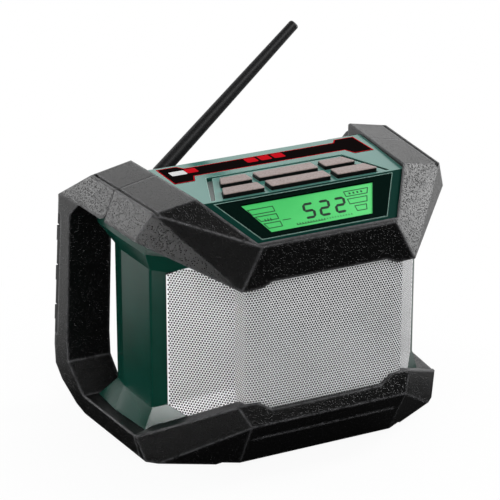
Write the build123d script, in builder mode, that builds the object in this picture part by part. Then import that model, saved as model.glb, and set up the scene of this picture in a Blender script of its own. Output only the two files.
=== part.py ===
"""Jobsite radio: armoured cover and side frames around a waisted housing, in millimetres.

The origin is on the ground under the middle of the radio. X runs to the right, Y to the rear, Z up.
"""

from build123d import *
from math import cos, radians, sin, sqrt
import os

os.makedirs("parts", exist_ok=True)

# ---------------------------------------------------------------- driving dimensions
depth = 202.0               # bumper nose to the back of the grip bars
height = 217.0              # ground to the inner edge of the raised ends
front = -depth / 2
rear = depth / 2

seat_gap = 0.25             # clearance between pieces that rest on each other
slide_gap = 0.4             # clearance around keys and other sliding pieces
pin_gap = 0.05              # radial clearance of a pin in its bore
wall = 3.0                  # moulded wall thickness

# Armour: cover, side frames and bumper
cover_front = front + 3.0   # upright front face of the cover
cover_nose = 74.5           # half width of the front face
cover_corner = cover_nose - cover_front     # x - y on the 45 degree corner faces
cover_side = 137.4          # half width of the armour at y = 0
side_flare = 0.08           # sideways growth of the armour per mm towards the rear
band_low = height - 31.0    # lower edge of the side band
band_lean = 0.40            # the band leans in by this much per mm of height
band_corner_z = height - 7.0    # height of the front corner of the band
end_fall = 0.20             # the raised ends fall outwards by this much per mm
roof_slope = 0.60           # rise per mm of the sloping front around the display
roof_rear = front + 49.1    # where the sloping front meets the raised ends
window_half = 93.35         # half width between the raised ends at y = 0
window_flare = 0.0856
window_nose = 57.0          # half width of the window at the front face
lip = 3.5                   # thickness of the front lip under the display
ledge = 4.0                 # ledge that carries the control panel
skirt_low = band_low - 30.0     # lower tip of the corner skirts
notch_half = 48.9           # half width of the raised middle of the lower edge
notch_top = skirt_low + 4.0
notch_run = 9.0
skirt = 4.6                 # skirt wall
seam_y = front + 111.0      # joint between the cover and the side frames
groove_width = 2.6
groove_depth = 2.4
groove_ridge = 1.6          # ridge left between the groove and the band

# Side frames
ends_rear = rear - 52.3     # rear edge of the raised ends
rear_slope = 0.645          # fall per mm behind the raised ends
block_rear = rear - 49.0    # rear face of the frames between the bars
bar_inner = 106.0           # inner side of the grip bars
arm_inner = 99.5            # inner side of the lower arms
arm_top = 21.7
ground_gap = 1.6            # the frames stand this far above the ground, on feet
low_lean = 0.25             # lean of the lowest side faces
low_band = 22.5             # height up to which the lower side faces lean
bumper_back = front + 71.0  # joint between the bumper and the lower arms
frame_round = 8.0           # rounding of the frame's corners, seen from the side
bar_thick = 21.0            # thickness of the grip bars from front to back
bar_low = 50.0              # the bar is furthest back at this height
bar_high = height - 37.0
bar_lean = 15.0             # the bar's top stands this far in front of its lowest part
heel_high = 33.0            # the heel turns under from here
heel_low = 6.0
heel_run = 28.0
heel_foot = 40.0
hand_low = 42.0             # inner face of the bar
hand_bend = 20.0
hand_high = bar_high - 8.0
grip_sheet = 4.0            # rubber grip let into the rear of each bar
grip_start = 11.0           # from the bar's lowest corner
grip_pads = 3
grip_pad = 13.0             # length of each raised pad
grip_pitch = 36.0
grip_proud = 1.0
grip_slot = 2.0             # groove above each pad
grip_slot_depth = 2.5

# Bumper
bumper_nose = 67.5          # half width of the nose
bumper_corner = bumper_nose - front
nose_z = 44.0
tab_top = 60.0
tab_half = 57.5
bumper_notch_half = 47.6
bumper_notch_top = 53.3
bumper_top_back = 8.0       # the top edge stands this far behind the nose
under_y = 17.3              # the underside starts this far behind the nose
under_z = 13.8
middle_lift = 4.0           # the underside between the feet stands this high
foot_line = ((84.6, front + 35.0, 0.0), (126.6, front + 57.8, 0.0))

# Housing
core_front = front + 24.5   # baffle face
core_nose = 67.5            # half width of the baffle
core_corner = core_nose - core_front        # x - y on the housing's corner faces
core_low = 14.0
core_low_half = 98.0
flare_low = 22.0            # the housing flares out from its waist down to here
waist_low = 40.0
waist_high = band_low - 30.0
flare_high = band_low - 16.0    # and up to here
core_top = band_low - seat_gap
waist_side = 118.5
waist_flare = 0.055
waist_chamfer_y = rear - 80.0
waist_rear_x = 118.0
waist_rear = rear - 64.5
waist_round = 6.0           # rounding of the upright edges at the waist
foot_flare = 4.3            # the corner faces gain this much at the foot, as x - y
foot_side = 126.5
foot_side_flare = 0.136
foot_rear_x = 128.5
brow_flare = 6.2            # and this much under the cover
brow_side = 123.7
brow_side_flare = 0.075
brow_rear_x = 126.0
flare_chamfer_y = rear - 82.0
flare_rear = rear - 50.0
corner_rise = 0.42          # rise of the lower crease along the corner faces
boss_r = 4.5
boss_inset = 8.5
boss_x = 104.0 - boss_inset
core_opening = boss_x - boss_r - 1          # half width of the housing's rear opening
boss_z = (42.0, band_low - 20.0)
screw_r = 1.5
screw_head_r = 3.0
screw_head = 2.2
screw_length = 14.0

main_board = (150.0, 56.0)
main_board_y = -18.0
main_board_lift = 5.0
sink_x = 40.0
sink_pitch = 4.0
sink_length = 30.0
sink_high = 12.0
connector = (18.0, 9.0)

# Grille and speakers
grille_sheet = 1.2
grille_front = front + 9.2  # raised middle of the grille
grille_flat = 60.0          # half width of its flat face
grille_fold = 68.3          # half width of the raised middle
grille_band = 1.5           # the bands beside the flat face fall back by this much
grille_fold_run = 1.5
grille_low = 30.0
grille_high = band_low - 22.0
grille_end = 108.7          # outer edge of the grille
grille_cut_low = (108.7, 45.6, 103.3, 30.9)     # slanted lower corner, as x, z, x, z
grille_cut_high = (108.7, grille_high - 9.6, 96.5, grille_high - 2.5)   # slanted upper corner
wedge_half = 39.6           # half width of the wedges at their creases
wedge_run = 1.15            # the wedges widen by this much per mm
wedge_low = 74.2            # crease of the lower wedge
wedge_high = 137.0          # crease of the upper wedge
wedge_foot = 42.0           # lower end of the lower wedge, inside the bumper
wedge_proud = 0.05          # the wedges rise by this much per mm
speaker_x = 33.5
speaker_z = 104.0
speaker_hole_r = 28.0
speaker_frame_r = 32.0
speaker_flange = 2.4
basket_depth = 24.0
magnet_r = 20.0
basket_wall = 1.6
cone_depth = 13.0
cone_sheet = 1.2
basket_ring = 2.0
voice_r = 10.0
magnet_length = 14.0

# Control panel
panel_top = height - 2.5
panel_bend = front + 46.5   # where the panel turns down to the display
panel_fall = 1.2            # the bend stands this far below the rear of the panel
panel_drop = 3.0            # thickness of the panel, measured upright
panel_gap = 0.5
panel_rear = waist_rear - 4.5               # rear edge behind the strip
panel_lobe_x = 78.0         # the outer lobes reach further back
panel_lobe_bend = 28.0
panel_lobe_rear = 50.0
panel_lobe_fall = 8.5
border_rear = (59.4, panel_bend + 47.9)     # outline of the key field
border_front = (77.0, panel_bend + 2.5)
border_width = 3.5
border_depth = 1.0
strip_front = panel_bend + 55.0
strip_rear = strip_front + 19.0
strip_lobe = (66.0, 70.0, 87.0)
strip_lobe_rear = strip_rear + 6.0
strip_lobe_front = strip_front - 9.5
strip_sheet = 1.2

# Keys
key_rows = (panel_bend + 30.0, panel_bend + 9.5)    # y of the middle of each row
key_depth = 13.0
key_middle = 25.5           # half width of the middle keys
key_inner = 31.5            # inner end of the outer keys
key_outer = 56.0            # outer end of the rear keys, at the middle of the row
key_taper = 0.39            # outer ends follow the border
key_round = 1.2
key_travel = 1.0
key_proud = 2.6
key_flange = 1.2
key_lip = 1.0
mat_sheet = 1.2
mat_gap = 0.3
mat_pad = (9.0, 6.0)
board = 1.6
board_drop = 8.5            # panel underside to the top of the control board
board_posts_x = 72.0
board_posts_y = (panel_bend + 10.5, panel_bend + 54.5)

# Display, measured on the slope
window_sheet = 1.0
window_top = (77.0, -2.0)
window_bottom = (53.5, -41.5)
lcd_top = (57.5, -6.6)
lcd_bottom = (43.5, -36.5)
lcd_border = 2.0
lcd_sheet = 3.5

# Antenna
antenna_x = -77.0
antenna_z = 190.0
antenna_angle = 41.5        # above the horizontal, at rest
antenna_length = 173.0      # pivot to tip
antenna_root_r = 6.0
antenna_tip_r = 4.2
antenna_tip_round = 2.0
knuckle_r = 8.0
knuckle_width = 12.0
antenna_pin_r = 2.5
pin_head_r = 5.0
pin_head = 2.0
base_sheet = 2.0
base_half = 13.0

# Rear housing, dock and pack
back_face = 52.0
back_half = boss_x + boss_inset
back_low = 27.0
back_top = 201.0
dock_half = 41.0
dock_floor = 38.0
dock_high = 182.0
pack_half = 37.5
pack_low = 28.5
pack_high = 122.0
pack_rear = 93.0
pack_round = 6.0
rail_low = 56.0
rail_high = 112.0
rail_web = 26.0             # middle of the rail's web
rail_sheet = 3.0
rail_flange = 7.0           # the flange reaches out this far from the middle of the web
rail_height = 6.0
blade_x = (-10.0, 0.0, 10.0)
blade = 0.8
blade_length = 22.0
blade_reach = 5.0
terminal_z = 95.0
latch_half = 12.0
latch_height = 9.0
latch_z = 108.0
latch_depth = 6.0
latch_travel = 2.0

# Socket bay and its door
bay_x = 74.0
bay_z = 132.0
bay_half = 17.0
bay_half_z = 15.0
bay_floor = 41.0
door_lap = 2.5
door_sheet = 2.2
hinge_r = 2.6
hinge_pin_r = 1.2
hinge_half = 12.0           # half width of the knuckle between the ears
door_tab = 3.0
door_rim = 3.0
socket_pitch = 10.5
socket_r = 4.0
dc_bore_r = 2.8
dc_pin_r = 1.0
aux_bore_r = 1.8
socket_body = 8.0
usb_size = (7.0, 12.5)
socket_proud = 4.0
block_half = 15.0           # terminal block in the dock's floor
block_height = 26.0
block_sink = 1.6

# Feet
foot_size = (20.0, 10.0)
foot_front = (102.0, -44.0)
foot_rear = (113.0, 46.0)


def plan(corner, side, flare, nose, back):
    """Symmetric plan outline: flat nose, 45 degree corners, flared sides."""
    corner_y = (side - corner) / (1 - flare)
    right = [(corner + nose, nose), (corner + corner_y, corner_y), (side + flare * back, back)]
    return right + [(-x, y) for x, y in reversed(right)]


def core_plan(gain, side, flare, chamfer_y, rear_x, back, inset=0.0, nose_inset=0.0):
    """Plan outline of the housing, with chamfered rear corners, inset all round."""
    corner = core_corner + gain - inset * sqrt(2)
    side_in = side - inset
    corner_y = (side_in - corner) / (1 - flare)
    right = [
        (corner + core_front + nose_inset, core_front + nose_inset),
        (corner + corner_y, corner_y),
        (side_in + flare * chamfer_y, chamfer_y),
        (rear_x - inset, back),
    ]
    return right + [(-x, y) for x, y in reversed(right)]


def foot_plan(outset):
    """Plan outline of the housing's narrow foot, between the lower arms."""
    corner_x = core_low_half + outset
    nose = core_front - outset
    right = [(core_corner + core_front, nose), (corner_x, corner_x - core_corner), (corner_x, back_face)]
    return mirrored(right)


def window_plan(inset, nose_y, back):
    """Plan outline between the raised ends, inset at the sides, cut off at the nose."""
    slope = (window_half + window_flare * roof_rear - window_nose) / (roof_rear - cover_front)
    nose_x = window_nose + slope * (nose_y - cover_front)
    right = [
        (nose_x - inset, nose_y),
        (window_half + window_flare * roof_rear - inset, roof_rear),
        (window_half + window_flare * back - inset, back),
    ]
    return right + [(-x, y) for x, y in reversed(right)]


def grille_plan(outset, back):
    """Plan outline of the grille's outer face, moved outwards, closed behind."""
    corner = core_corner + (seat_gap + grille_sheet + outset) * sqrt(2)
    fold = grille_fold + outset
    fold_rear = fold + grille_fold_run
    end = grille_end + outset
    right = [
        (grille_flat, grille_front - outset),
        (fold, grille_front + grille_band - outset),
        (fold_rear, fold_rear - corner),
        (end, end - corner),
        (end, back),
    ]
    return right + [(-x, y) for x, y in reversed(right)]


def mirrored(points):
    """Outline from its right half, given from front to rear."""
    return points + [(-x, y) for x, y in reversed(points)]


def facing(point, normal, hand=1):
    """Plane through a point with the given outward normal, mirrored for the left hand."""
    origin = (hand * point[0], point[1], point[2])
    return Plane(origin=origin, z_dir=(hand * normal[0], normal[1], normal[2]))


def normal_of(first, second, third):
    """Normal of the plane through three points."""
    a, b, c = Vector(*first), Vector(*second), Vector(*third)
    cross = (b - a).cross(c - a).normalized()
    return (cross.X, cross.Y, cross.Z)


def cut_line(cut, gap=0.0):
    """Points of a slanted grille corner on a corner face, as distance and height."""
    near_x, near_z, far_x, far_z = cut
    near, far = ((x - core_nose) * sqrt(2) + gap for x in (near_x, far_x))
    slope = (far_z - near_z) / (far - near)
    top = grille_high + wall if far_z > near_z else 0
    return [(near, near_z), (near + (top - near_z) / slope, top)]


def roof_z(y):
    """Height of the sloping front of the cover at a distance y."""
    return height + roof_slope * (y - roof_rear)


def edge_point(y):
    """Point on the edge between a raised end and its side band."""
    inner = window_half + window_flare * y
    lean = band_lean * end_fall
    x = cover_side + side_flare * y - band_lean * (height - band_low) - lean * inner
    x = x / (1 - lean)
    return (x, y, height - end_fall * (x - inner))


def save(builder, name):
    """Label a finished sub-part and write its STEP file."""
    builder.part.label = name
    export_step(builder.part, f"parts/{name}.step")


# ---------------------------------------------------------------- faces shared by the armour
end_corner = (window_half + window_flare * roof_rear, roof_rear, height)
end_rear_corner = (window_half + window_flare * ends_rear, ends_rear, height)
lip_corner = (window_nose, cover_front, roof_z(cover_front))
skirt_tip = (cover_corner + cover_front, cover_front, skirt_low)
band_corner_x = cover_side - band_lean * (band_corner_z - band_low)
band_corner_y = (band_corner_x - cover_corner) / (1 - side_flare)
band_corner = (cover_corner + band_corner_y, band_corner_y, band_corner_z)
side_point = (cover_side, 0.0, band_low)
low_point = (cover_side, 0.0, low_band)

end_normal = (end_fall, -end_fall * window_flare, 1.0)
rear_normal = (end_fall, rear_slope - end_fall * window_flare, 1.0)
band_normal = (1.0, -side_flare, band_lean)
side_normal = (1.0, -side_flare, 0.0)
low_normal = (1.0, -side_flare, -low_lean)
upper_facet = normal_of(end_corner, lip_corner, band_corner)
lower_facet = normal_of(lip_corner, skirt_tip, band_corner)


def corner_profile(start, hand):
    """Upright plane along a 45 degree corner, starting at a point; local x runs outwards."""
    return Plane(origin=(hand * start[0], start[1], 0), x_dir=(hand, 1, 0), z_dir=(1, -hand, 0))


def edge_groove(hand):
    """Plane across the edge between a raised end and its band, with x running inboard."""
    near, far = Vector(*edge_point(roof_rear)), Vector(*edge_point(ends_rear))
    run = (far - near).normalized()
    inboard = Vector(-1, side_flare, end_fall).normalized()
    return Plane(
        origin=(hand * near.X, near.Y, near.Z),
        x_dir=(hand * inboard.X, inboard.Y, inboard.Z),
        z_dir=(hand * run.X, run.Y, run.Z),
    )


# ---------------------------------------------------------------- upper cover
band_front_y = (cover_side - cover_corner) / (1 - side_flare)
skirt_run = (band_front_y - cover_front) * sqrt(2)
panel_bend_z = panel_top - panel_fall
panel_nose = cover_front + lip + panel_gap
panel_nose_z = panel_bend_z + roof_slope * (panel_nose - panel_bend)
seat_nose = cover_front + lip
seat_drop = panel_drop + seat_gap

# Hollow under the skirts for the housing and the grille.
with BuildPart() as cover_hollow:
    with BuildSketch(Plane.XY):
        hollow = (cover_corner - skirt * sqrt(2), cover_side - skirt, side_flare, cover_front + skirt)
        Polygon(*plan(*hollow, seam_y + skirt), align=None)
    extrude(amount=band_low)
    for hand in (1, -1):
        split(bisect_by=facing(lip_corner, lower_facet, hand).offset(-skirt), keep=Keep.BOTTOM)

# Space of the control panel between the raised ends, down to its seat.
with BuildPart() as panel_space:
    with BuildSketch(Plane.YZ):
        seat = [
            (seat_nose, panel_nose_z - seat_drop - roof_slope * panel_gap),
            (panel_bend, panel_bend_z - seat_drop),
            (seam_y + skirt, panel_top - seat_drop),
            (seam_y + skirt, height + skirt),
            (seat_nose, height + skirt),
        ]
        Polygon(*seat, align=None)
    extrude(amount=cover_side, both=True)
    with BuildSketch(Plane.XY):
        Polygon(*window_plan(0, seat_nose, seam_y + skirt), align=None)
    extrude(amount=2 * height, mode=Mode.INTERSECT)

with BuildPart() as upper_cover:
    with BuildSketch(Plane.XY.offset(skirt_low)):
        Polygon(*plan(cover_corner, cover_side, side_flare, cover_front, seam_y), align=None)
    extrude(amount=height - skirt_low)
    for hand in (1, -1):
        split(bisect_by=facing(side_point, band_normal, hand), keep=Keep.BOTTOM)
        split(bisect_by=facing(end_corner, end_normal, hand), keep=Keep.BOTTOM)
        split(bisect_by=facing(lip_corner, upper_facet, hand), keep=Keep.BOTTOM)
        split(bisect_by=facing(lip_corner, lower_facet, hand), keep=Keep.BOTTOM)
    split(bisect_by=facing(end_corner, (0, -roof_slope, 1)), keep=Keep.BOTTOM)
    for hand in (1, -1):
        # The skirts rise along the corners from their tips to the side bands.
        with BuildSketch(corner_profile(skirt_tip, hand)):
            far = 3 * skirt_run
            Polygon((0, skirt_low), (skirt_run, band_low), (far, band_low), (far, 0), (0, 0), align=None)
        extrude(amount=depth, both=True, mode=Mode.SUBTRACT)
        # A groove sets each raised end off from its band.
        with BuildSketch(edge_groove(hand)):
            with Locations((groove_ridge + groove_width / 2, 0)):
                Rectangle(groove_width, 2 * groove_depth)
        extrude(amount=depth, both=True, mode=Mode.SUBTRACT)
    # Raised middle of the lower edge.
    with BuildSketch(Plane.XZ.offset(-cover_front - skirt)):
        notch_foot = notch_half + notch_run
        Polygon(*mirrored([(notch_foot, skirt_low), (notch_half, notch_top)]), align=None)
    extrude(amount=2 * skirt, mode=Mode.SUBTRACT)
    add(cover_hollow.part, mode=Mode.SUBTRACT)
    add(panel_space.part, mode=Mode.SUBTRACT)
    # The panel rests on a ledge; the space inside it is open to the housing.
    with BuildSketch(Plane.XY.offset(band_low - skirt)):
        Polygon(*window_plan(ledge, seat_nose + ledge / 2, seam_y + skirt), align=None)
    extrude(amount=height, mode=Mode.SUBTRACT)
save(upper_cover, "upper_cover")


# ---------------------------------------------------------------- side frames
def frame_outline():
    """Side view of a frame: top arm, slope, grip bar and lower arm, as one C shape."""
    low_y = rear
    top_y = rear - bar_lean
    slope_z = edge_point(ends_rear)[2] - rear_slope * (top_y - ends_rear)
    above = height + wall
    outer = [
        (seam_y + seat_gap, above),
        (ends_rear + above - height, above),
        (top_y, slope_z),
        (top_y, bar_high),
        (low_y, bar_low),
        (low_y - 1, heel_high),
        (low_y - heel_run, heel_low),
        (low_y - heel_foot, ground_gap),
        (bumper_back, ground_gap),
    ]
    inner = [
        (bumper_back, arm_top),
        (flare_rear + 2, arm_top),
        (low_y - bar_thick - 2, hand_low),
        (low_y - bar_thick - 1, hand_low + hand_bend),
        (top_y - bar_thick + 4, hand_high),
        (flare_rear + 1, band_low + seat_gap),
        (seam_y + seat_gap, band_low + seat_gap),
    ]
    return outer + inner


# Plane along the rear edge of the grip bars: local x runs up the bar, local y to the rear.
bar_low_point = Vector(bar_inner, rear, bar_low)
bar_high_point = Vector(bar_inner, rear - bar_lean, bar_high)
bar_up = (bar_high_point - bar_low_point).normalized()
bar_plane = Plane(origin=bar_low_point, x_dir=bar_up, z_dir=(-1, 0, 0))
grip_length = grip_pads * grip_pitch
grip_align = (Align.MIN, Align.MAX)

with BuildPart() as right_side_frame:
    # Grip bar with both arms, and the inner blocks beside the panel and the housing.
    with BuildSketch(Plane.YZ.offset(bar_inner)) as frame_sketch:
        Polygon(*frame_outline(), align=None)
        corners = frame_sketch.vertices().filter_by(lambda v: v.Y > ends_rear + 16)
        fillet(corners, radius=frame_round)
    extrude(amount=cover_side)
    with BuildSketch(Plane.XY.offset(band_low + seat_gap)):
        with BuildLine():
            Polyline(
                (window_half + window_flare * seam_y, seam_y + seat_gap),
                (window_half + window_flare * block_rear, block_rear),
                (bar_inner + 1, block_rear),
                (bar_inner + 1, seam_y + seat_gap),
                close=True,
            )
        make_face()
    extrude(amount=height)
    with BuildSketch(Plane.XY.offset(ground_gap)):
        with BuildLine():
            Polyline(
                (arm_inner, bumper_back),
                (arm_inner, block_rear),
                (bar_inner + 1, block_rear),
                (bar_inner + 1, bumper_back),
                close=True,
            )
        make_face()
    extrude(amount=arm_top - ground_gap)
    split(bisect_by=facing(end_corner, end_normal), keep=Keep.BOTTOM)
    split(bisect_by=facing(end_rear_corner, rear_normal), keep=Keep.BOTTOM)
    split(bisect_by=facing(side_point, band_normal), keep=Keep.BOTTOM)
    split(bisect_by=facing(side_point, side_normal), keep=Keep.BOTTOM)
    split(bisect_by=facing(low_point, low_normal), keep=Keep.BOTTOM)
    with BuildSketch(edge_groove(1)):
        with Locations((groove_ridge + groove_width / 2, 0)):
            Rectangle(groove_width, 2 * groove_depth)
    extrude(amount=ends_rear - roof_rear, mode=Mode.SUBTRACT)
    # Recess for the grip.
    with BuildSketch(bar_plane):
        with Locations((grip_start - seat_gap, 0)):
            recess_size = (grip_length + 2 * seat_gap, 2 * (grip_sheet + seat_gap))
            Rectangle(*recess_size, align=(Align.MIN, Align.CENTER))
    extrude(amount=cover_side, both=True, mode=Mode.SUBTRACT)
save(right_side_frame, "right_side_frame")

with BuildPart() as left_side_frame:
    mirror(right_side_frame.part, about=Plane.YZ)
save(left_side_frame, "left_side_frame")

# ---------------------------------------------------------------- grips
with BuildPart() as right_grip:
    with BuildSketch(bar_plane):
        with Locations((grip_start, 0)):
            Rectangle(grip_length, grip_sheet, align=grip_align)
        for pad in range(grip_pads):
            pad_start = grip_start + (pad + 0.5) * grip_pitch - grip_pad / 2
            with Locations((pad_start, grip_proud)):
                Rectangle(grip_pad, grip_sheet, align=grip_align)
            with Locations((pad_start + grip_pad, grip_proud)):
                Rectangle(grip_slot, grip_proud + grip_slot_depth, align=grip_align, mode=Mode.SUBTRACT)
    extrude(amount=-cover_side)
    split(bisect_by=facing(side_point, side_normal), keep=Keep.BOTTOM)
save(right_grip, "right_grip")

with BuildPart() as left_grip:
    mirror(right_grip.part, about=Plane.YZ)
save(left_grip, "left_grip")

# ---------------------------------------------------------------- lower bumper
waist_level = (0, waist_side, waist_flare, waist_chamfer_y, waist_rear_x, waist_rear)
foot_level = (foot_flare, foot_side, foot_side_flare, flare_chamfer_y, foot_rear_x, flare_rear)
brow_level = (brow_flare, brow_side, brow_side_flare, flare_chamfer_y, brow_rear_x, flare_rear)
shoulder = bumper_top_back * sqrt(2)
nose_half = bumper_corner + front
foot_facet = normal_of((nose_half, front, nose_z), foot_line[0], foot_line[1])
foot_facet = tuple(-v for v in foot_facet) if foot_facet[2] > 0 else foot_facet
floor_top = core_low - seat_gap
bumper_corner_y = (cover_side - bumper_corner) / (1 - side_flare)
bumper_run = (bumper_corner_y - front) * sqrt(2)

# The lower corner facets start at creases that rise towards the front.
waist_corner_y = (waist_side - core_corner) / (1 - waist_flare)
foot_corner_y = (foot_side - core_corner - foot_flare) / (1 - foot_side_flare)
facet_top = (core_corner + waist_corner_y, waist_corner_y, waist_low)
facet_foot = (core_corner + foot_flare + foot_corner_y, foot_corner_y, flare_low)
crease_run = facet_top[0] - core_nose
crease_z = waist_low + corner_rise * crease_run * sqrt(2)
crease_end = (core_nose, core_front, crease_z)
corner_facet = normal_of(facet_top, crease_end, facet_foot)
facet_drop = waist_low - flare_low
facet_end = (facet_drop, facet_drop, sum(facet_foot[:2]) - sum(facet_top[:2]))
raised = grille_front + 5.0

# Wedges behind the facets: for the housing, both faces of the grille, and the bumper's hollows.
corner_wedges = []
for outset, nose, foot in (
    (0, core_front, flare_low),
    (seat_gap, raised, flare_low),
    (seat_gap + grille_sheet, raised, grille_low),
    (2 * seat_gap + grille_sheet, raised - seat_gap, grille_low - seat_gap),
    (seat_gap, core_front - seat_gap, flare_low - seat_gap),
):
    with BuildPart() as corner_wedge:
        with BuildSketch(Plane.XY.offset(foot)):
            corner = core_corner - wall
            far_x = facet_foot[0] + wall
            strip = [(grille_flat, nose), (far_x, nose), (far_x, far_x - corner)]
            Polygon(*strip, (corner + nose, nose), align=None)
        extrude(amount=crease_z)
        split(bisect_by=facing(facet_top, corner_facet).offset(outset), keep=Keep.BOTTOM)
        split(bisect_by=facing(facet_top, facet_end), keep=Keep.BOTTOM)
        mirror(about=Plane.YZ)
    corner_wedges.append(corner_wedge.part)

# Wedges on the grille's face rise towards the notches of the cover and the bumper.
grille_wedges = []
for outset in (-grille_sheet, 0, seat_gap):
    for crease, way, end in ((wedge_low, -1, wedge_foot), (wedge_high, 1, grille_high)):
        with BuildPart() as grille_wedge:
            with BuildSketch(Plane.XZ.offset(-grille_front - wall)):
                wide_z = crease + way * (grille_flat - wedge_half) / wedge_run
                half = [(wedge_half + outset, crease), (grille_flat + outset, wide_z)]
                Polygon(*mirrored([*half, (grille_flat + outset, end + way * outset)]), align=None)
            extrude(amount=2 * wall)
            rise = facing((0, grille_front, crease), (0, -1, -way * wedge_proud))
            split(bisect_by=rise.offset(outset), keep=Keep.BOTTOM)
        grille_wedges.append(grille_wedge.part)

with BuildPart() as bumper_hollow:
    # Space for the housing's narrow foot, its flared waist and the grille.
    with BuildSketch(Plane.XY.offset(core_low - seat_gap)):
        Polygon(*foot_plan(seat_gap), align=None)
    extrude(amount=depth)
    with BuildSketch(Plane.XY.offset(flare_low - seat_gap)):
        Polygon(*core_plan(*foot_level, inset=-seat_gap, nose_inset=-seat_gap), align=None)
    extrude(amount=depth)
    add(corner_wedges[3:5])
    add(grille_wedges[4])
    with BuildSketch(Plane.XY.offset(grille_low - seat_gap)):
        Polygon(*grille_plan(seat_gap, waist_rear), align=None)
    extrude(amount=depth)

with BuildPart() as lower_bumper:
    with BuildSketch(Plane.XY.offset(ground_gap)):
        back = bumper_back - seat_gap
        Polygon(*plan(bumper_corner, cover_side, side_flare, front, back), align=None)
    extrude(amount=tab_top - ground_gap)
    for hand in (1, -1):
        split(bisect_by=facing(low_point, low_normal, hand), keep=Keep.BOTTOM)
        split(bisect_by=facing((nose_half, front, nose_z), foot_facet, hand), keep=Keep.BOTTOM)
        # The upper edge falls along the corners from the tabs to the lower arms.
        with BuildSketch(corner_profile((nose_half, front), hand)):
            far = 3 * bumper_run
            fall = [(shoulder, tab_top), (bumper_run, low_band), (far, low_band), (far, height)]
            Polygon(*fall, (shoulder, height), align=None)
        extrude(amount=depth, both=True, mode=Mode.SUBTRACT)
    top_face = (0, nose_z - tab_top, bumper_top_back)
    split(bisect_by=facing((0, front, nose_z), top_face), keep=Keep.BOTTOM)
    under_face = (0, under_z - nose_z, -under_y)
    split(bisect_by=facing((0, front, nose_z), under_face), keep=Keep.BOTTOM)
    # Lowered middle of the upper edge.
    with BuildSketch(Plane.XZ.offset(-front)):
        Polygon(*mirrored([(bumper_notch_half, bumper_notch_top), (tab_half, tab_top)]), align=None)
    extrude(amount=-depth / 4, mode=Mode.SUBTRACT)
    # Floor under the housing, hollow below, between the lower arms.
    with BuildSketch(Plane.XY.offset(floor_top - wall)):
        with Locations((0, bumper_back - wall)):
            floor_size = (2 * (arm_inner - seat_gap), back_face - bumper_back + wall)
            Rectangle(*floor_size, align=(Align.CENTER, Align.MIN))
    extrude(amount=wall)
    foot_x, foot_y, foot_z = foot_line[0]
    foot_inner = foot_x - 2 * wall
    with BuildSketch(Plane.XY):
        with Locations((0, foot_y + wall)):
            Rectangle(2 * foot_inner, bumper_back - front, align=(Align.CENTER, Align.MIN))
    extrude(amount=floor_top - wall, mode=Mode.SUBTRACT)
    with BuildSketch(Plane.XZ):
        Polygon(*mirrored([(foot_inner, middle_lift), (foot_x, foot_z)]), align=None)
    extrude(amount=depth, both=True, mode=Mode.SUBTRACT)
    add(bumper_hollow.part, mode=Mode.SUBTRACT)
save(lower_bumper, "lower_bumper")

# ---------------------------------------------------------------- front housing
cavity_low = core_low + wall
cavity_high = core_top - wall
back_high = core_top - seat_gap
opening_low = back_low + wall
opening_high = back_high - wall

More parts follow.
